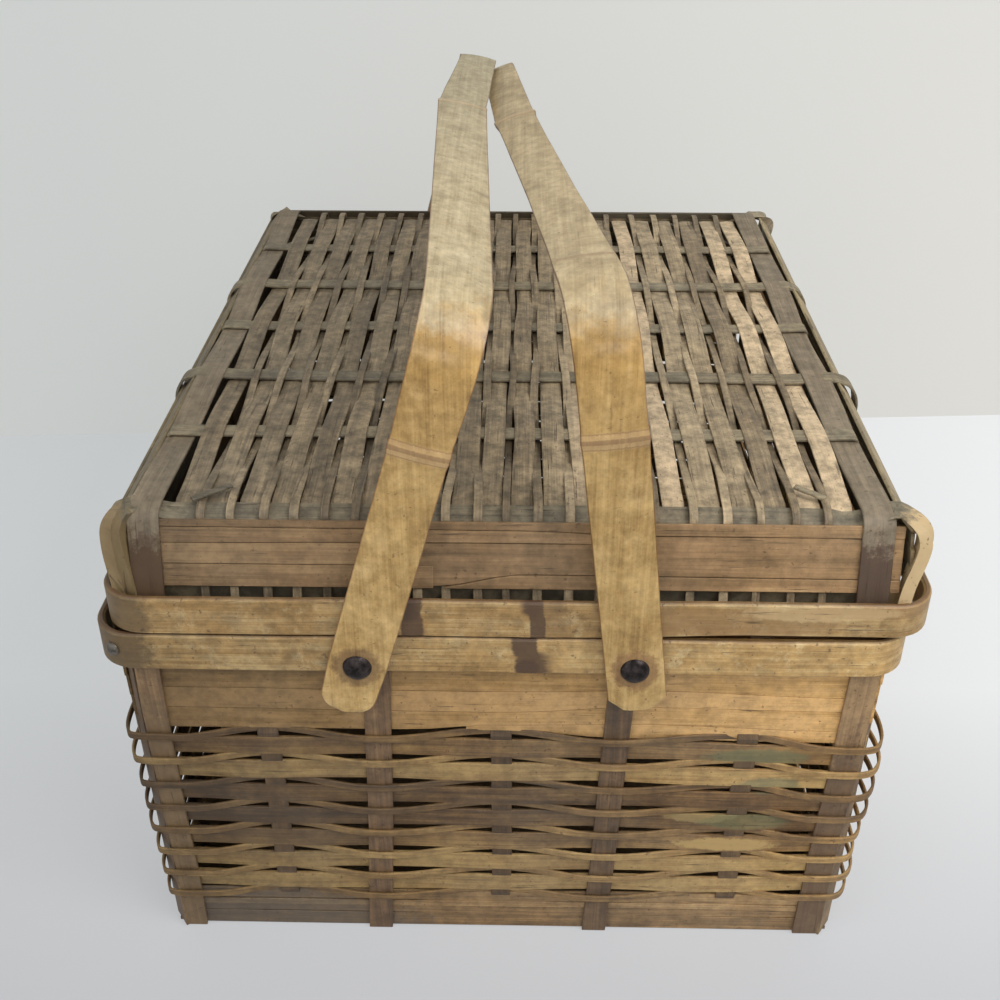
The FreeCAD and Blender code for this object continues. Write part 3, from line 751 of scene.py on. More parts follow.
class CREEL_OT_body_walls(bpy.types.Operator):
    """Lays the slats, wide wales and stakes of the four walls."""

    bl_idname = "creel.body_walls"
    bl_label = "Body walls"

    def execute(self, context):
        rim_top = sizes().parting - 0.003
        for number, side in enumerate(SIDES):
            rng = random.Random(100 + number)
            if side == "near":
                rim = near_rim_slats(rng)
            else:
                rim = slat_group(side, RIM_SLAT_FOOT, rim_top, (0.22, 0.21, 0.30, 0.27), rng, (0.6, 1.0))
            base = slat_group(side, STAKE_FOOT, BASE_TOP, (0.36, 0.20, 0.16, 0.28), rng, (0.35, 0.9))
            wides = [wide_wale(side, z, rng) for z in WIDE_WALES]
            gather(side + "_rim_slats", rim, "body", "slats_Z")
            gather(side + "_base_slats", base, "body", "base_Z")
            gather(side + "_wide_wales", wides, "body", "wide_Z")
            self.stakes(side, rng)
        return {"FINISHED"}

    def stakes(self, side, rng):
        """Stands the outer stakes before the wide wales, and the inner ones behind them."""
        s = sizes()
        place, slope, _ = body_wall(side)
        place = place @ UPRIGHT
        over = [(z, 1.2 * MM) for z in WALES] + [(z, 1.7 * MM) for z in WIDE_WALES]
        over = sorted(over + [(0.014, 1.8 * MM), (0.146, 1.8 * MM)])
        under = [(z, 1.3 * MM) for z in WALES] + [(z, -0.6 * MM) for z in WIDE_WALES]
        under = sorted(under + [(0.0215, -1.5 * MM), (0.1340, -1.5 * MM)])
        outer, inner = [], []
        places = outer_places(side)
        for i, u in enumerate(places):
            wander = drift(rng, 0.4 * MM, 0.2)
            if side == "near":
                foot, head = NEAR_FEET[i], NEAR_HEADS[i]
            else:
                foot, head = u, u + rng.uniform(-1, 1) * MM
            path = [(z / slope, -(foot + (head - foot) * z / NEAR_HEADS_AT) + wander(z), swing(z, over))
                    for z in spread(STAKE_FOOT, STAKE_TOP, 64)]
            stood = place
            if i in (0, len(places) - 1) and side in ("left", "right"):
                # The corner stakes of the long sides stand turned towards their corner
                sign = 1 if u > 0 else -1
                centre = Vector((0, -sign * (half_at("near", 0.1) - 6.0 * MM), -1.5 * MM))
                path = [(z / slope, centre.y + wander(z) - sign * 3.5 * MM * (z / s.parting - 0.5), centre.z)
                        for z in spread(STAKE_FOOT, STAKE_TOP, 24)]
                turned = Matrix.Rotation(math.radians(CORNER_TURN * sign), 4, "X")
                stood = place @ Matrix.Translation(centre) @ turned @ Matrix.Translation(-centre)
            width, tone = OUTER_STAKE, rng.uniform(0.3, 0.9)
            if side == "near":
                width, tone = NEAR_STAKES[i][0] * MM, NEAR_STAKES[i][1]
            outer.append(splint(path, width, s.stake, tone, stood))
        for u in inner_places(side):
            wander = drift(rng, 0.5 * MM, 0.2)
            path = [(z / slope, -u + wander(z), swing(z, under)) for z in spread(4.2 * MM, STAKE_TOP, 64)]
            inner.append(splint(path, INNER_STAKE, s.stake, rng.uniform(0.2, 0.8), place))
        grain = "X" if side in ("near", "far") else "Y"
        gather(side + "_outer_stakes", outer, "body", "stake_" + grain)
        gather(side + "_inner_stakes", inner, "body", "inner_" + grain)


# Millimetres along and into the wall from the basket's corner, and how far each corner's loops swell
CORNER_LOOP = [
    (-12.0, 3.0), (-4.0, 2.7), (2.0, 0.8), (5.8, -4.5), (7.4, -11.0), (7.6, -19.0), (6.4, -28.0), (4.6, -38.0),
]
LOOP_SWELL = {("near", 1): 1.0, ("far", -1): 1.0, ("far", 1): 0.8, ("near", -1): 0.55}


def wale_ring(z, rng):
    """Path of a narrow wale: over the outer stakes, behind the inner ones, wide of the corners."""
    points = []
    for side in SIDES:
        half, across = half_at(side, z), half_at(ACROSS[side], z)
        short = side in ("near", "far")
        end = across - (22 if short else 48) * MM
        knots = [(-end, 3.0 * MM)] + crossing_knots(side, 2.7 * MM, -0.2 * MM) + [(end, 3.0 * MM)]
        knots = sorted(k for k in knots if abs(k[0]) <= end + 1e-9)
        rise = crossing_knots(side, -1.9 * MM, 2.0 * MM)
        wander = drift(rng, 0.35 * MM, 0.15)
        turn = Matrix.Rotation(math.radians(TURNS[side]), 3, "Z")
        for sign in (-1, 1):
            if sign == 1:
                for u in spread(-end, end, 49):
                    point = turn @ Vector((u, -(half + swing(u, knots)), 0))
                    points.append((point.x, z + swing(u, rise) + settle(side, u, z) + wander(u), -point.y))
            if short:
                swell = LOOP_SWELL[(side, sign)] * rng.uniform(0.85, 1.2)
                lift = rng.uniform(-0.8, 0.8) * MM
                sunk = z - 1.5 * MM + settle(side, sign * across, z)
                for du, dv in eased(CORNER_LOOP[::sign]):
                    beyond = du * swell if du > 0 else du
                    point = turn @ Vector((sign * (across + beyond * MM), -(half + dv * MM), 0))
                    points.append((point.x, sunk + lift * min(1.0, -dv / 8 + 0.4), -point.y))
    return points + points[:1]


class CREEL_OT_narrow_wales(bpy.types.Operator):
    """Weaves the narrow wales, which run round the basket and loop out at its corners."""

    bl_idname = "creel.narrow_wales"
    bl_label = "Narrow wales"

    def execute(self, context):
        for i, z in enumerate(WALES):
            rng = random.Random(300 + i)
            path, tone = wale_ring(z, rng), rng.uniform(0.15, 0.8)
            ring = splint(path, NARROW_WALE, sizes().splint, tone, STANDING, closed=True, edge=0.3)
            gather("wale_hoop_" + str(i + 1), [ring], "body", "narrow_Z")
        return {"FINISHED"}


# Lid


ROWS = [-0.1733, -0.1143, -0.0572, 0.0, 0.0572, 0.1143, 0.1733]
NARROW = [x * MM for x in (
    -121.1, -109.4, -96.1, -84.4, -72.3, -60.2, -48.1, -36.4, -25.1, -12.4, -1.3, 11.2, 23.7, 35.8, 46.3, 56.9,
    71.7, 84.9, 97.7, 111.5, 123.9)]
WIDE = [-0.129] + [(a + b) / 2 for a, b in zip(NARROW, NARROW[1:])] + [0.1305]
WIDE_TONES = (
    0.35, 0.5, 0.4, 0.5, 0.35, 0.55, 0.4, 0.45, 0.35, 0.4, 0.5, 0.5, 0.6, 0.95, 0.6, 0.5, 1.3, 0.7, 0.55, 0.3,
    1.1, 1.2)
# Rows that end in loops, in millimetres: how far the left and right loops reach, and where their feet stand
LOOP_REACH = {2: (160.2, 162.5), 4: (159.2, 160.0)}
LOOP_FEET = (160.0, 163.9)
# The first and last rows turn down round the lid's corners: x, y from the row and z in millimetres, and the
# turn in degrees
CORNER_RIGHT = (
    (155.0, 15.2, 194.0, 50), (155.8, 14.9, 203.0, 50), (157.2, 13.7, 211.0, 50), (159.0, 12.7, 218.0, 48),
    (160.4, 11.7, 224.0, 46), (160.6, 10.7, 229.0, 42), (158.8, 8.7, 232.8, 36), (154.8, 5.2, 235.4, 26),
    (149.5, 2.2, 236.4, 12),
)
CORNER_LEFT = (
    (152.0, 14.6, 194.0, 58), (152.6, 14.0, 203.0, 58), (153.8, 12.8, 211.0, 57), (154.8, 11.7, 218.0, 55),
    (155.2, 10.6, 224.0, 52), (155.0, 9.6, 229.0, 46), (153.6, 8.0, 232.8, 38), (151.0, 5.2, 235.4, 26),
    (148.2, 2.2, 236.4, 12),
)
EDGE_TILT = 23
# Where the wide splints end and where the corner straps lie
WIDE_END = 0.1785
STRAP_AT = 0.143
# Corner braces: (x, y, angle, half length, heights at their two ends and middle)
BRACES = (
    (-0.1160, 0.1460, 45, 0.029, (0.2335, 0.2322, 0.2335)),
    (-0.1179, -0.1695, 32, 0.0085, (0.2378, 0.2385, 0.2391)),
    (0.1160, 0.1460, -45, 0.029, (0.2335, 0.2322, 0.2335)),
    (0.1185, -0.1655, -32, 0.0065, (0.2391, 0.2385, 0.2378)),
)


def lid_place(x, y, degrees=0):
    turn = Matrix.Rotation(math.radians(degrees), 4, "Z")
    return Matrix.Translation((sizes().lid_shift + x, y, 0)) @ turn


def row_knots(even, odd):
    """Heights of a splint that crosses the rows, over some and under the others."""
    return [(y, odd if i % 2 else even) for i, y in enumerate(ROWS)]


def down_inside(side, low, inset, top, radius, reach):
    """Outer face of a splint that climbs a lid wall and turns over onto the top."""
    foot = top - radius
    points = [(-(lid_half_at(side, z) - inset), 0, z) for z in spread(low, foot, 6)]
    for a in (18, 36, 54, 72, 90):
        r = math.radians(a)
        points.append((points[5][0] + reach * (1 - math.cos(r)), 0, foot + radius * math.sin(r)))
    return points


def over_the_top(start, top_knots, end, wander, count):
    """Joins the near climb, the run across the top and the far descent."""
    first, last = start[-1][0], -end[-1][0]
    run = [(u, wander(u) - wander(first), swing(u, top_knots)) for u in spread(first, last, count)[1:-1]]
    drop = [(-u, wander(last) - wander(first), z) for u, _, z in reversed(end)]
    return start + run + drop


class CREEL_OT_lid_top(bpy.types.Operator):
    """Weaves the lid's top: cross splints, narrow and wide splints, and the two corner straps."""

    bl_idname = "creel.lid_top"
    bl_label = "Lid top"

    def execute(self, context):
        s = sizes()
        rng = random.Random(7)
        mid = s.lid_top - 1.8 * MM
        over = mid + 1.7 * MM
        self.rows(mid, rng)
        narrow, wide, straps = [], [], []
        knots = row_knots(over, mid - 2.4 * MM)
        climb = down_inside("near", INSIDE_LID_BAND, s.slat + 0.1 * MM, over, 4.8 * MM, 10 * MM)
        for x in NARROW:
            path = over_the_top(climb, knots, climb, drift(rng, 1.1 * MM, 0.22), 66)
            tone, width = rng.uniform(0.1, 0.95), rng.uniform(3.0, 3.8) * MM
            narrow.append(splint(path, width, 1.1 * MM, tone, lid_place(x, 0, 90)))
        gather("lid_narrow_splints", narrow, "lid", "lid_X")
        ends = [(0.1690, mid - 0.7 * MM), (WIDE_END, mid - 5.2 * MM)]
        knots = [(-y, z) for y, z in reversed(ends)] + row_knots(mid - 1.2 * MM, mid + 1.8 * MM)[1:-1] + ends
        for x, tone in zip(WIDE, WIDE_TONES):
            wander = drift(rng, 0.9 * MM, 0.22)
            path = [(u, wander(u), swing(u, knots)) for u in spread(-WIDE_END, WIDE_END, 70)]
            width = rng.uniform(8.8, 9.8) * MM
            wide.append(splint(path, width, 1.1 * MM, tone, lid_place(x, 0, 90), cuts=4, crown=0.35 * MM))
        gather("lid_wide_splints", wide, "lid", "lid_X")
        knots = row_knots(over, mid - 0.6 * MM)
        climb = down_inside("near", s.lid_foot, -1.6 * MM, over + 0.2 * MM, 5.5 * MM, 9 * MM)
        for x in (-STRAP_AT, STRAP_AT):
            path = over_the_top(climb, knots, climb, drift(rng, 0.8 * MM, 0.3), 66)
            straps.append(splint(path, 12.6 * MM, 1.3 * MM, 0.4, lid_place(x, 0, 90), cuts=2))
        gather("lid_corner_straps", straps, "lid", "strap_X")
        return {"FINISHED"}

    def rows(self, mid, rng):
        """Lays the cross splints. Two of them end in loops, and the first and last go round the corners."""
        for i, y in enumerate(ROWS):
            wander = drift(rng, 0.7 * MM, 0.3)
            edge = i in (0, len(ROWS) - 1)
            tall = (10.2 if edge else 9.6 if i % 2 == 0 else 9.0) * MM
            tone = rng.uniform(0.3, 0.8)
            turns = widths = None
            if edge:
                path, turns, widths = self.edge_row(1 if i == 0 else -1)
            else:
                if i in LOOP_REACH:
                    ends = [self.loop(mid, reach, foot) for reach, foot in zip(LOOP_REACH[i], LOOP_FEET)]
                else:
                    inset = sizes().slat + 0.1 * MM
                    ends = [down_inside("left", INSIDE_LID_BAND, inset, mid + 1.4 * MM, 2.5 * MM, 2.5 * MM)] * 2
                level = mid + 0.6 * MM
                knots = [(-0.145, ends[0][-1][2]), (-0.128, level), (0.128, level), (0.145, ends[1][-1][2])]
                path = over_the_top(ends[0], knots, ends[1], wander, 60)
            row = splint(path, tall, 1.2 * MM, tone, lid_place(0, y), turns=turns, widths=widths)
            gather("lid_cross_splint_" + str(i + 1), [row], "lid", "lid_Y")

    def edge_row(self, toward):
        """The first or last row: it lies over the wall's edge, and its ends turn round the lid's corners."""
        shrink = 0.0 if toward > 0 else 2.2
        left, right = [
            [(sign * (x - shrink) * MM, -toward * y * MM, z * MM, 0.0, -sign * toward * turn, 1.0)
             for x, y, z, turn in corner] for sign, corner in ((-1, CORNER_LEFT), (1, CORNER_RIGHT))]
        low = sizes().lid_top - 4.8 * MM
        across = [(u, -toward * 2.3 * MM, low, toward * EDGE_TILT, 0.0, 0.62)
                  for u in spread(-0.134, 0.134, 12)]
        points = eased(left + across + right[::-1])
        return [p[:3] for p in points], [(p[3], 0.0, p[4]) for p in points], [p[5] for p in points]

    def loop(self, mid, reach, foot):
        """A row's end: out past the wall's edge, over in a loop and down inside the rim band."""
        top = mid / MM
        outline = [
            (foot, 193), (foot - 0.5, 201), (reach - 1.6, 210), (reach - 0.6, 217), (reach, 224),
            (reach - 1.5, 230), (reach - 5, 234.6), (reach - 9.5, 236.4), (149, top + 1.8), (144, top + 1.6),
        ]
        return [(-x * MM, 0, z * MM) for x, z in eased(outline)]


# Joint lines of the near lid wall's slats, as (place, height)
LID_NEAR_LINES = (
    [(0.0, LID_SLAT_FOOT)],
    [(-0.15, 0.2144), (-0.05, 0.2144)],
    [(-0.03, 0.2058), (0.006, 0.2110), (0.15, 0.2105)],
    [(-0.15, 0.2229), (0.0, 0.2239)],
    [(-0.05, 0.2238), (0.028, 0.2238), (0.06, 0.2272), (0.15, 0.2272)],
    [(-0.15, 0.2294), (0.0, 0.2290), (0.06, 0.2274), (0.15, 0.2272)],
    [(0.0, LID_NEAR_TOP)],
)


def lid_lip_at(side, z):
    """Half size of the lid's outward-leaning top side slat."""
    return (0.1580 if side == "right" else 0.1558) - (z - LID_EAVES) * 5.6 / 6.8


def lid_side_at(side, z):
    """Half size of the lid's side walls below that slat."""
    return 0.1593 - (z - LID_SLAT_FOOT) * 2.0 / 24.0


class CREEL_OT_lid_walls(bpy.types.Operator):
    """Lays the slats of the lid's four walls and the tips of its corner braces."""

    bl_idname = "creel.lid_walls"
    bl_label = "Lid walls"

    def execute(self, context):
        for number, side in enumerate(SIDES):
            rng = random.Random(500 + number)
            if side == "near":
                slats = self.near_slats()
            elif side == "far":
                slats = self.stacked(side, LID_SLAT_FOOT, LID_EAVES, (0.4, 0.33, 0.27), lid_half_at, rng)
                # The far wall's top slat gets a dark tone: painted shade, as it stands in shadow
                slats += self.stacked(side, LID_EAVES, LID_SLAT_TOP, (1.0,), lid_half_at, rng, (-0.9, -0.8))
            else:
                slats = self.stacked(side, LID_SLAT_FOOT, 0.2292, (0.40, 0.34, 0.26), lid_side_at, rng)
                slats += self.stacked(side, 0.2285, LID_SLAT_TOP, (1.0,), lid_lip_at, rng)
            key = "lid_slats_Z" if side == "near" else "lid_side_Z"
            gather("lid_" + side + "_slats", slats, "lid", key)
        rng = random.Random(77)
        braces = []
        for x, y, angle, half, tips in BRACES:
            knots = list(zip((-half, 0.0, half), tips))
            path = [(u, 0, swing(u, knots)) for u in spread(-half, half, 16)]
            braces.append(splint(path, 3.0 * MM, 1.2 * MM, rng.random() * 0.5, lid_place(x, y, angle)))
        gather("lid_corner_braces", braces, "lid", "lid_Y")
        return {"FINISHED"}

    def stacked(self, side, low, high, shares, half, rng, tones=(0.3, 0.8)):
        """Slats stacked between two heights of a lid wall. Those of the far wall stop short of the corners."""
        at = wall(side, low, high, half, sizes().lid_shift)
        slats, z = [], low
        for share in shares:
            tall = (high - low) * share
            reach = lid_half_at(ACROSS[side], z + tall / 2) - (3 if side == "far" else 1) * MM
            slats.append(slat_between(
                at, [(0, z)], [(0, z + tall)], -reach, reach, 0.0, rng.uniform(*tones), 0.2, 14))
            z += tall
        return slats

    def near_slats(self):
        """The near wall's slats: several splints lapped end to end, so their joints step along the wall."""
        at = wall("near", LID_SLAT_FOOT, LID_NEAR_TOP, lid_half_at, sizes().lid_shift)
        bottom, low_left, low_right, second, broad_top, third, top = LID_NEAR_LINES
        left, end = -0.1500, 0.1535
        rows = (
            (bottom, low_left, left, -0.03, 0.0, 0.75), (bottom, low_right, -0.026, end, 0.05, 0.55),
            (low_left, second, left, -0.04, 0.0, 0.9), (low_right, broad_top, -0.045, end, -0.2, 0.5),
            (second, third, left, 0.048, 0.1, 0.7), (third, top, left, end, 0.2, 0.5),
        )
        return [slat_between(at, low, high, start, stop, out * MM, tone)
                for low, high, start, stop, out, tone in rows]


# Rim bands


BAND_CORNER = 17 * MM
BAND_THICK = 3.0 * MM
SCAR_REACH = 6.2 * MM
SCAR_EDGE = 1.5 * MM
# Each band: its body and CAD box, half width and shift in millimetres, node scars as (place, strength),
# how many millimetres its height loses at the right, and its seed
BANDS = {
    "body_band": ("body", BAND_LOW, BAND_HIGH, 165.2, -0.5, ((0.0092, 1.0),), 0.0, 21),
    "lid_band": ("lid", LID_BAND_LOW, LID_BAND_HIGH, 165.7, 5.6,
                 ((0.0115, 1.0), (0.0185, 0.55), (-0.0385, 0.9)), 1.9, 22),
}


def band_path(half_x, half_y, radius, scars):
    """Plan of a hoop with rounded corners, from the middle of the far side, with more points about its scars."""
    points = []
    previous = Vector((0, half_y, 0))
    for sx, sy, start in ((-1, 1, 90), (-1, -1, 180), (1, -1, 270), (1, 1, 0)):
        centre = Vector((sx * (half_x - radius), sy * (half_y - radius), 0))
        angles = [math.radians(start + a) for a in spread(0, 90, 10)]
        arc = [centre + radius * Vector((math.cos(a), math.sin(a), 0)) for a in angles]
        stops = [previous.lerp(arc[0], i / 26) for i in range(26)]
        if sy < 0 and sx > 0:
            fine = [x + d * MM for x, _ in scars for d in (-6.2, -5, -3.5, -1.5, 1.5, 3.5, 5, 6.2)]
            stops = [Vector((x, -half_y, 0)) for x in sorted([p.x for p in stops] + fine)]
        points += stops + arc[:-1]
        previous = arc[-1]
    end = Vector((0, half_y, 0))
    return points + [previous.lerp(end, i / 12) for i in range(12)] + [end]


class CREEL_OT_rim_bands(bpy.types.Operator):
    """Bends the two wide bands that bind the rims, with their bamboo node scars."""

    bl_idname = "creel.rim_bands"
    bl_label = "Rim bands"

    def execute(self, context):
        for name, (body, low, high, half_x, shift, scars, lift, seed) in BANDS.items():
            half_y = (high.y - low.y) / 2
            wobble = drift(random.Random(seed), 0.35 * MM, 0.2)
            tall = high.z - low.z - 0.3 * MM
            path, widths, marks = [], [], []
            for p in band_path(half_x * MM, half_y, BAND_CORNER, scars):
                share = clamp((p.x + 0.01) / 0.10) if p.y < 0 else 0.0
                loss = lift * MM * share * share
                mark = 0.0
                if p.y < 0.02 - half_y:
                    mark = max(strength * clamp((SCAR_REACH - abs(p.x + shift * MM - x)) / SCAR_EDGE)
                               for x, strength in scars)
                path.append((p.x, wobble(p.x + p.y) + loss / 2, -p.y + 0.3 * MM * mark))
                widths.append(1 - loss / tall)
                marks.append(mark)
            place = Matrix.Translation((shift * MM, 0, (low.z + high.z) / 2)) @ STANDING
            ring = splint(path, tall, BAND_THICK, 0.5, place, cuts=4, edge=0.9, closed=True,
                          marks=marks, widths=widths)
            gather(name, [ring], body, name + "_Z")
        return {"FINISHED"}


# Swing handles


# Leans in degrees at the near and far pivot. Widths as (place, width), rings as (place, strength) and all
# other values in millimetres
HANDLES = {
    "left_handle": {
        "body": "left_swing_handle", "leans": (15.9, 9.9), "tail": 24, "corner": 8.0, "worn": True,
        "leg": [(-20, 22.4), (0, 24.0), (60, 23.6), (100, 23.0), (130, 24.6)],
        "far_leg": [(0, 22.5), (130, 19.0)],
        "grip": [(-170, 24.8), (-97, 24.8), (62, 25.4), (70, 24.2), (170, 21.2)],
        "leg_ring": 102, "grip_rings": ((-118, 0.25), (64, 0.8)), "kink": 8.8, "rise": 2.0,
    },
    "right_handle": {
        "body": "right_swing_handle", "leans": (-6.9, -25.2), "tail": 21, "corner": 6.0, "worn": False,
        "leg": [(0, 24.0), (100, 24.6), (130, 24.2)], "far_leg": [(0, 22.5), (130, 19.5)],
        "grip": [(-170, 24.2), (-130, 22.4), (-60, 20.6), (44, 20.2), (58, 21.8), (67, 20.4), (170, 19.4)],
        "leg_ring": 105, "grip_rings": ((-158, 0.3), (58, 0.8)), "kink": 4.0, "rise": 3.5,
    },
}
GRIP_TOP = 0.1595
SHOULDER = 0.0295
LEG_TOP = GRIP_TOP - SHOULDER
# A strap is drawn as it runs up (X), sideways (Y) and out (Z), and this stands it over the basket
STRAP_STANDS = Matrix(((0, -1, 0, 0), (0, 0, -1, 0), (1, 0, 0, 0), (0, 0, 0, 1)))


class CREEL_OT_swing_handles(bpy.types.Operator):
    """Bends the two flat bamboo handles over the lid."""

    bl_idname = "creel.swing_handles"
    bl_label = "Swing handles"

    def execute(self, context):
        for seed, (name, own) in enumerate(HANDLES.items()):
            strap = self.strap(own, PIVOT_X[name], random.Random(41 + seed))
            parts = ("_near_leg", "_grip", "_far_leg")
            gather(name, [strap], own["body"], name, parts, "_strap")
        return {"FINISHED"}

    def strap(self, own, pivot_x, rng):
        """One strap: up the near leg, round the shoulder, along the grip and down the far leg."""
        s = sizes()
        # The strap turns clear of the band by 1.3 mm
        face = BAND_HIGH.y + 1.3 * MM + s.strap
        tail, corner, ring_at = [own[word] * MM for word in ("tail", "corner", "leg_ring")]
        about = [d * MM for d in (-5, -3.5, -2, -0.7, 0.7, 2, 3.5, 5)]
        stops = [-tail + corner * share for share in (0.0, 0.1, 0.25, 0.45, 0.7, 1.0)] + [0.0]
        stops += spread(12 * MM, LEG_TOP, 14) + [ring_at + d for d in about]
        stops = sorted(set(round(v, 6) for v in stops))
        rings = own["grip_rings"]
        ys = spread(-face + SHOULDER, face - SHOULDER, 26)
        ys += [at * MM + d for at, _ in rings for d in about if abs(at * MM + d) < face - SHOULDER]
        ys = sorted(set(round(v, 6) for v in ys))
        path, turns, widths, marks = [], [], [], []

        def put(run, out, turn, y, width, mark=0.0):
            """One section. The grip's far end is kinked sideways and stands a little higher."""
            down = clamp(run / LEG_TOP) if y > 0.15 else 1.0
            sideways = -own["kink"] * MM * clamp((y - 0.064) / 0.106) * down
            lift = own["rise"] * MM * clamp(y / 0.17) * down
            path.append((run + lift, sideways, out))
            turns.append((0.0, turn, 0.0))
            widths.append(width + rng.uniform(-0.12, 0.12))
            marks.append(mark)

        def shoulder(sign, width):
            for a in spread(0, 90, 10)[1:-1][::sign]:
                r = math.radians(a)
                out = face - SHOULDER + SHOULDER * math.cos(r)
                put(LEG_TOP + SHOULDER * math.sin(r), sign * out, 90 - sign * (90 - a), -sign * face, width)

        def end_loss(z):
            """How much narrower a strap's tail is: rounded by wear, or cut across its corners."""
            if z > corner - tail:
                return 0.0
            rise = (z + tail) / corner
            share = 1 - math.sqrt(max(0.0, 1 - (1 - rise) ** 2)) if own["worn"] else 1 - rise
            return 2 * corner / MM * share

        for z in stops:
            mark = max(0.0, 1 - abs(z - ring_at) / (4.5 * MM))
            width = swing(z / MM, own["leg"]) - end_loss(z) + 0.9 * mark
            put(z, face + 0.7 * MM * mark, 0, -face, width, mark)
        shoulder(1, own["grip"][0][1])
        for y in ys:
            mark = max([0.0] + [size * (1 - abs(y - at * MM) / (4.0 * MM)) for at, size in rings])
            put(GRIP_TOP + 0.5 * MM * mark, -y, 90, y, swing(y / MM, own["grip"]) + 0.8 * mark, mark)
        shoulder(-1, own["grip"][-1][1])
        for z in reversed(stops):
            put(z, -face, 180, face, swing(z / MM, own["far_leg"]) - end_loss(z))
        base = max(widths)
        obj = splint(path, base * MM, s.strap, 0.5, cuts=8, widths=[w / base for w in widths], edge=0.7,
                     marks=marks, turns=turns, crown=0.9 * MM)
        place_in_mesh(obj, STRAP_STANDS)
        near_lean, far_lean = own["leans"]
        lean = obj.modifiers.new("Lean", "SIMPLE_DEFORM")
        lean.deform_method = "TWIST"
        lean.deform_axis = "Y"
        lean.angle = math.radians(far_lean - near_lean)
        finish_modifiers(obj)
        turn = Matrix.Rotation(math.radians((near_lean + far_lean) / 2), 4, "Y")
        place_in_mesh(obj, Matrix.Translation((pivot_x, 0, PIVOT_HEIGHT)) @ turn)
        return obj


# Rivets, and the pieces kept from the frame


# Outlines from the foot to the crown, as (radius, height) in millimetres
RIVET = [(4.6, -12.0), (4.6, -10.8), (2.6, -10.7), (2.6, -0.2), (5.6, 0.0)] + [
    (5.9 * math.cos(math.radians(a)), 2.9 * math.sin(math.radians(a))) for a in (4, 20, 36, 52, 68, 82)]
BUTTON = [(1.2, -5.0), (1.2, 0.0), (3.0, 0.15), (2.9, 0.9), (2.2, 1.6), (1.1, 2.0), (0.3, 2.1)]


def turned(outline, count):
    """A solid turned about Z from an outline."""
    rings = [(r * MM, z * MM) for r, z in outline]
    radius, low = rings[0]
    clear_selection()
    bpy.ops.mesh.primitive_circle_add(vertices=count, radius=radius, location=(0, 0, low), fill_type="NGON")
    obj = bpy.context.active_object
    place_in_mesh(obj)
    edit_mode(True)
    for (r0, z0), (r1, z1) in zip(rings, rings[1:]):
        bpy.ops.mesh.extrude_region_move(TRANSFORM_OT_translate={"value": (0, 0, z1 - z0)})
        bpy.ops.transform.resize(value=(r1 / r0, r1 / r0, 1), center_override=(0, 0, z1))
    edit_mode(False)
    return obj


class CREEL_OT_rivets(bpy.types.Operator):
    """Sets the four pivot rivets and the small one that closes the body band."""

    bl_idname = "creel.rivets"
    bl_label = "Rivets"

    def execute(self, context):
        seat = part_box("pivot_rivets")[1].y - 2.8 * MM
        rng = random.Random(9)
        rivets = []
        for x in PIVOT_X.values():
            for sign in (-1, 1):
                rivet = turned(RIVET, 28)
                edit_mode(True)
                bpy.ops.mesh.select_all(action="SELECT")
                bpy.ops.transform.vertex_random(offset=0.12 * MM, seed=rng.randint(1, 99))
                edit_mode(False)
                turn = Matrix.Rotation(math.radians(-90 * sign), 4, "X")
                place_in_mesh(rivet, Matrix.Translation((x, sign * seat, PIVOT_HEIGHT)) @ turn)
                rivets.append(rivet)
        gather("pivot_rivets", rivets, "body", "iron")
        button = turned(BUTTON, 20)
        turn = Matrix.Rotation(math.radians(-28), 4, "Z") @ Matrix.Rotation(math.radians(90), 4, "X")
        place_in_mesh(button, Matrix.Translation((-0.1567, -0.1940, 0.1785)) @ turn)
        gather("band_lap_rivet", [button], "body", "steel")
        return {"FINISHED"}


class CREEL_OT_frame_finishes(bpy.types.Operator):
    """Gives the pieces that keep the frame's own shape their finishes."""

    bl_idname = "creel.frame_finishes"
    bl_label = "Finishes of plain pieces"

    def execute(self, context):
        for node, key in (
            ("bottom_splints", "bottom_X"), ("bottom_panel", "bottom_Y"), ("body_collar", "slats_Z"),
            ("lid_inner_hoop", "lid_Y"), ("hinge_body_leaves", "steel"),
            ("hinge_lid_leaves", "steel"), ("hinge_pins", "steel"),
        ):
            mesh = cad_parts[node].data
            mesh.materials.clear()
            mesh.materials.append(finish(key))
        return {"FINISHED"}


# Stage


# Area lamps: name, place, aim, size in metres and power in watts
LAMPS = (
    ("key", (0.75, -0.75, 1.3), (0, 0, 0.12), 0.9, 14),
    ("fill", (-1.0, -0.9, 0.9), (0, 0, 0.12), 1.2, 4),
    ("top", (-0.1, -0.75, 1.3), (0, -0.1, 0.3), 0.9, 4.3),
    ("glint", (0.085, -1.35, 0.68), (0, -0.2, 0.3), 0.22, 1.1),
)


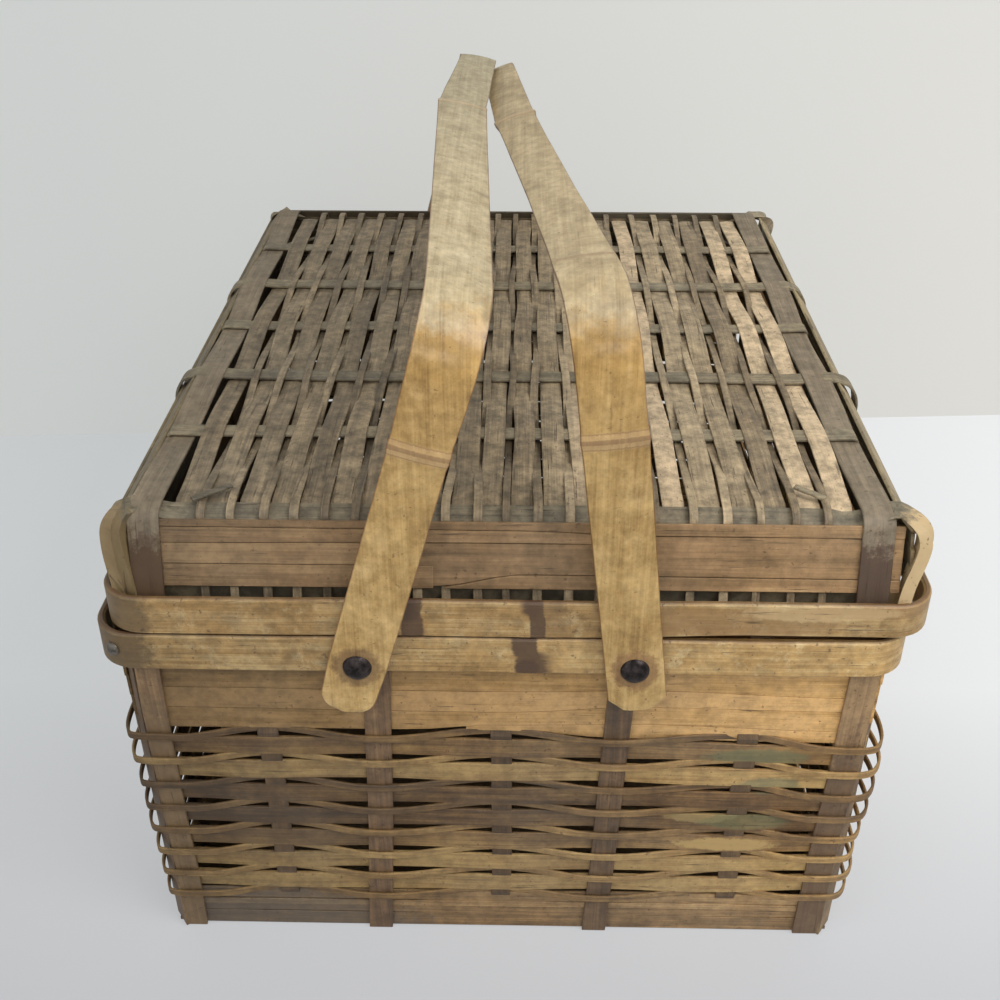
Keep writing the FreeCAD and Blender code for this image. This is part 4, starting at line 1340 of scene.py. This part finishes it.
def paper_with_painted_light(name, colour, left, right, near):
    """Matt white paper, clear from behind, that glows with painted light for camera, glossy and transmission
    rays: brighter at the right and painted shade close by, as in the picture.
    """
    made, tree, place = new_finish(name)
    across, along = [add(tree, "SeparateXYZ", (place,), axis) for axis in "XY"]
    painted_paper_light = laid(tree, left, right, across, -0.32, 0.40)
    painted_paper_light = laid(tree, painted_paper_light, near, along, 0.0, -0.34)
    # The paper glows with its painted light and shade for camera, glossy and transmission rays, and is matt for
    # the rest
    rays = add(tree, "LightPath").node.outputs
    shown = add(tree, "Math", (rays["Is Camera Ray"], rays["Is Glossy Ray"]), operation="MAXIMUM")
    shown = add(tree, "Math", (shown, rays["Is Transmission Ray"]), operation="MAXIMUM")
    shown = add(tree, "Math", (shown, 0.65), operation="MULTIPLY")
    matt = add(tree, "BsdfDiffuse", {"Color": colour})
    painted_glow = add(tree, "Emission", {"Color": painted_paper_light, "Strength": 1.0})
    front = add(tree, "MixShader", (shown, matt, painted_glow))
    back = add(tree, "NewGeometry", give="Backfacing")
    both = add(tree, "MixShader", (back, front, add(tree, "BsdfTransparent")))
    add(tree, "OutputMaterial", {"Surface": both})
    return made


def sheet(name, place, turn, made):
    """A large plane of one finish."""
    clear_selection()
    bpy.ops.mesh.primitive_plane_add(size=8, location=place, rotation=turn)
    obj = bpy.context.active_object
    obj.name = name
    obj.data.materials.append(made)
    place_in_mesh(obj)
    return obj


class CREEL_OT_stage(bpy.types.Operator):
    """Sets the floor, the backdrop, the lamps and the camera."""

    bl_idname = "creel.stage"
    bl_label = "Stage"

    def execute(self, context):
        # Floor and backdrop with painted light, brighter at the right, and painted shade close by
        paper = paper_with_painted_light("matt_paper_floor", "CDCFD1", "CDD0D1", "FFFFFF", "A6A5A9")
        floor = sheet("floor", (0, 0, 0), (0, 0, 0), paper)
        paper = paper_with_painted_light("matt_paper_backdrop", "CBCDCA", "CFD2D0", "EAE7E1", "CFD2D0")
        backdrop = sheet("backdrop", (0, 0.336, 0), (math.radians(90), 0, math.radians(3.7)), paper)
        world = bpy.data.worlds.new("studio")
        context.scene.world = world
        world.use_nodes = True
        world.node_tree.nodes.clear()
        sky = add(world.node_tree, "Background", {"Color": "F4F6F8", "Strength": 0.55})
        add(world.node_tree, "OutputWorld", {"Surface": sky})
        for name, place, aim, size, power in LAMPS:
            clear_selection()
            bpy.ops.object.light_add(type="AREA", location=place)
            light = bpy.context.active_object
            light.name = name
            light.rotation_euler = (Vector(aim) - Vector(place)).to_track_quat("-Z", "Y").to_euler()
            light.data.size = size
            light.data.energy = power
            light.visible_glossy = name != "top"
        # The place, turn and lens were fitted to the edges of the basket in the picture
        turn = (math.radians(58.57), 0, math.radians(1.08))
        bpy.ops.object.camera_add(location=(0.00706, -0.59116, 0.4932), rotation=turn)
        camera = bpy.context.active_object
        camera.name = "camera"
        camera.data.lens = 45.04
        camera.data.sensor_width = 36
        context.scene.camera = camera
        context.scene.view_settings.view_transform = "Standard"
        return {"FINISHED"}


STEPS = (
    "body_walls", "narrow_wales", "lid_top", "lid_walls", "rim_bands", "swing_handles", "rivets",
    "frame_finishes", "stage",
)


class CREEL_PT_sidebar(bpy.types.Panel):
    """Lists the basket's pieces and its main sizes and colours."""

    bl_idname = "CREEL_PT_sidebar"
    bl_label = "Splint creel"
    bl_space_type = "VIEW_3D"
    bl_region_type = "UI"
    bl_category = "Creel"

    def draw(self, context):
        for group in (sizes(), context.scene.creel_colours):
            for name in group.bl_rna.properties.keys():
                if name not in ("rna_type", "name"):
                    self.layout.prop(group, name)
        for step in STEPS:
            self.layout.operator("creel." + step)


CLASSES = (
    CreelSizes, CreelColours, CREEL_OT_body_walls, CREEL_OT_narrow_wales, CREEL_OT_lid_top,
    CREEL_OT_lid_walls, CREEL_OT_rim_bands, CREEL_OT_swing_handles, CREEL_OT_rivets,
    CREEL_OT_frame_finishes, CREEL_OT_stage, CREEL_PT_sidebar,
)


def register():
    for item in CLASSES:
        bpy.utils.register_class(item)
    bpy.types.Scene.creel_sizes = bpy.props.PointerProperty(type=CreelSizes)
    bpy.types.Scene.creel_colours = bpy.props.PointerProperty(type=CreelColours)


def unregister():
    del bpy.types.Scene.creel_colours
    del bpy.types.Scene.creel_sizes
    for item in reversed(CLASSES):
        bpy.utils.unregister_class(item)


def main():
    register()
    for step in STEPS:
        getattr(bpy.ops.creel, step)()


if __name__ == "__main__":
    main()
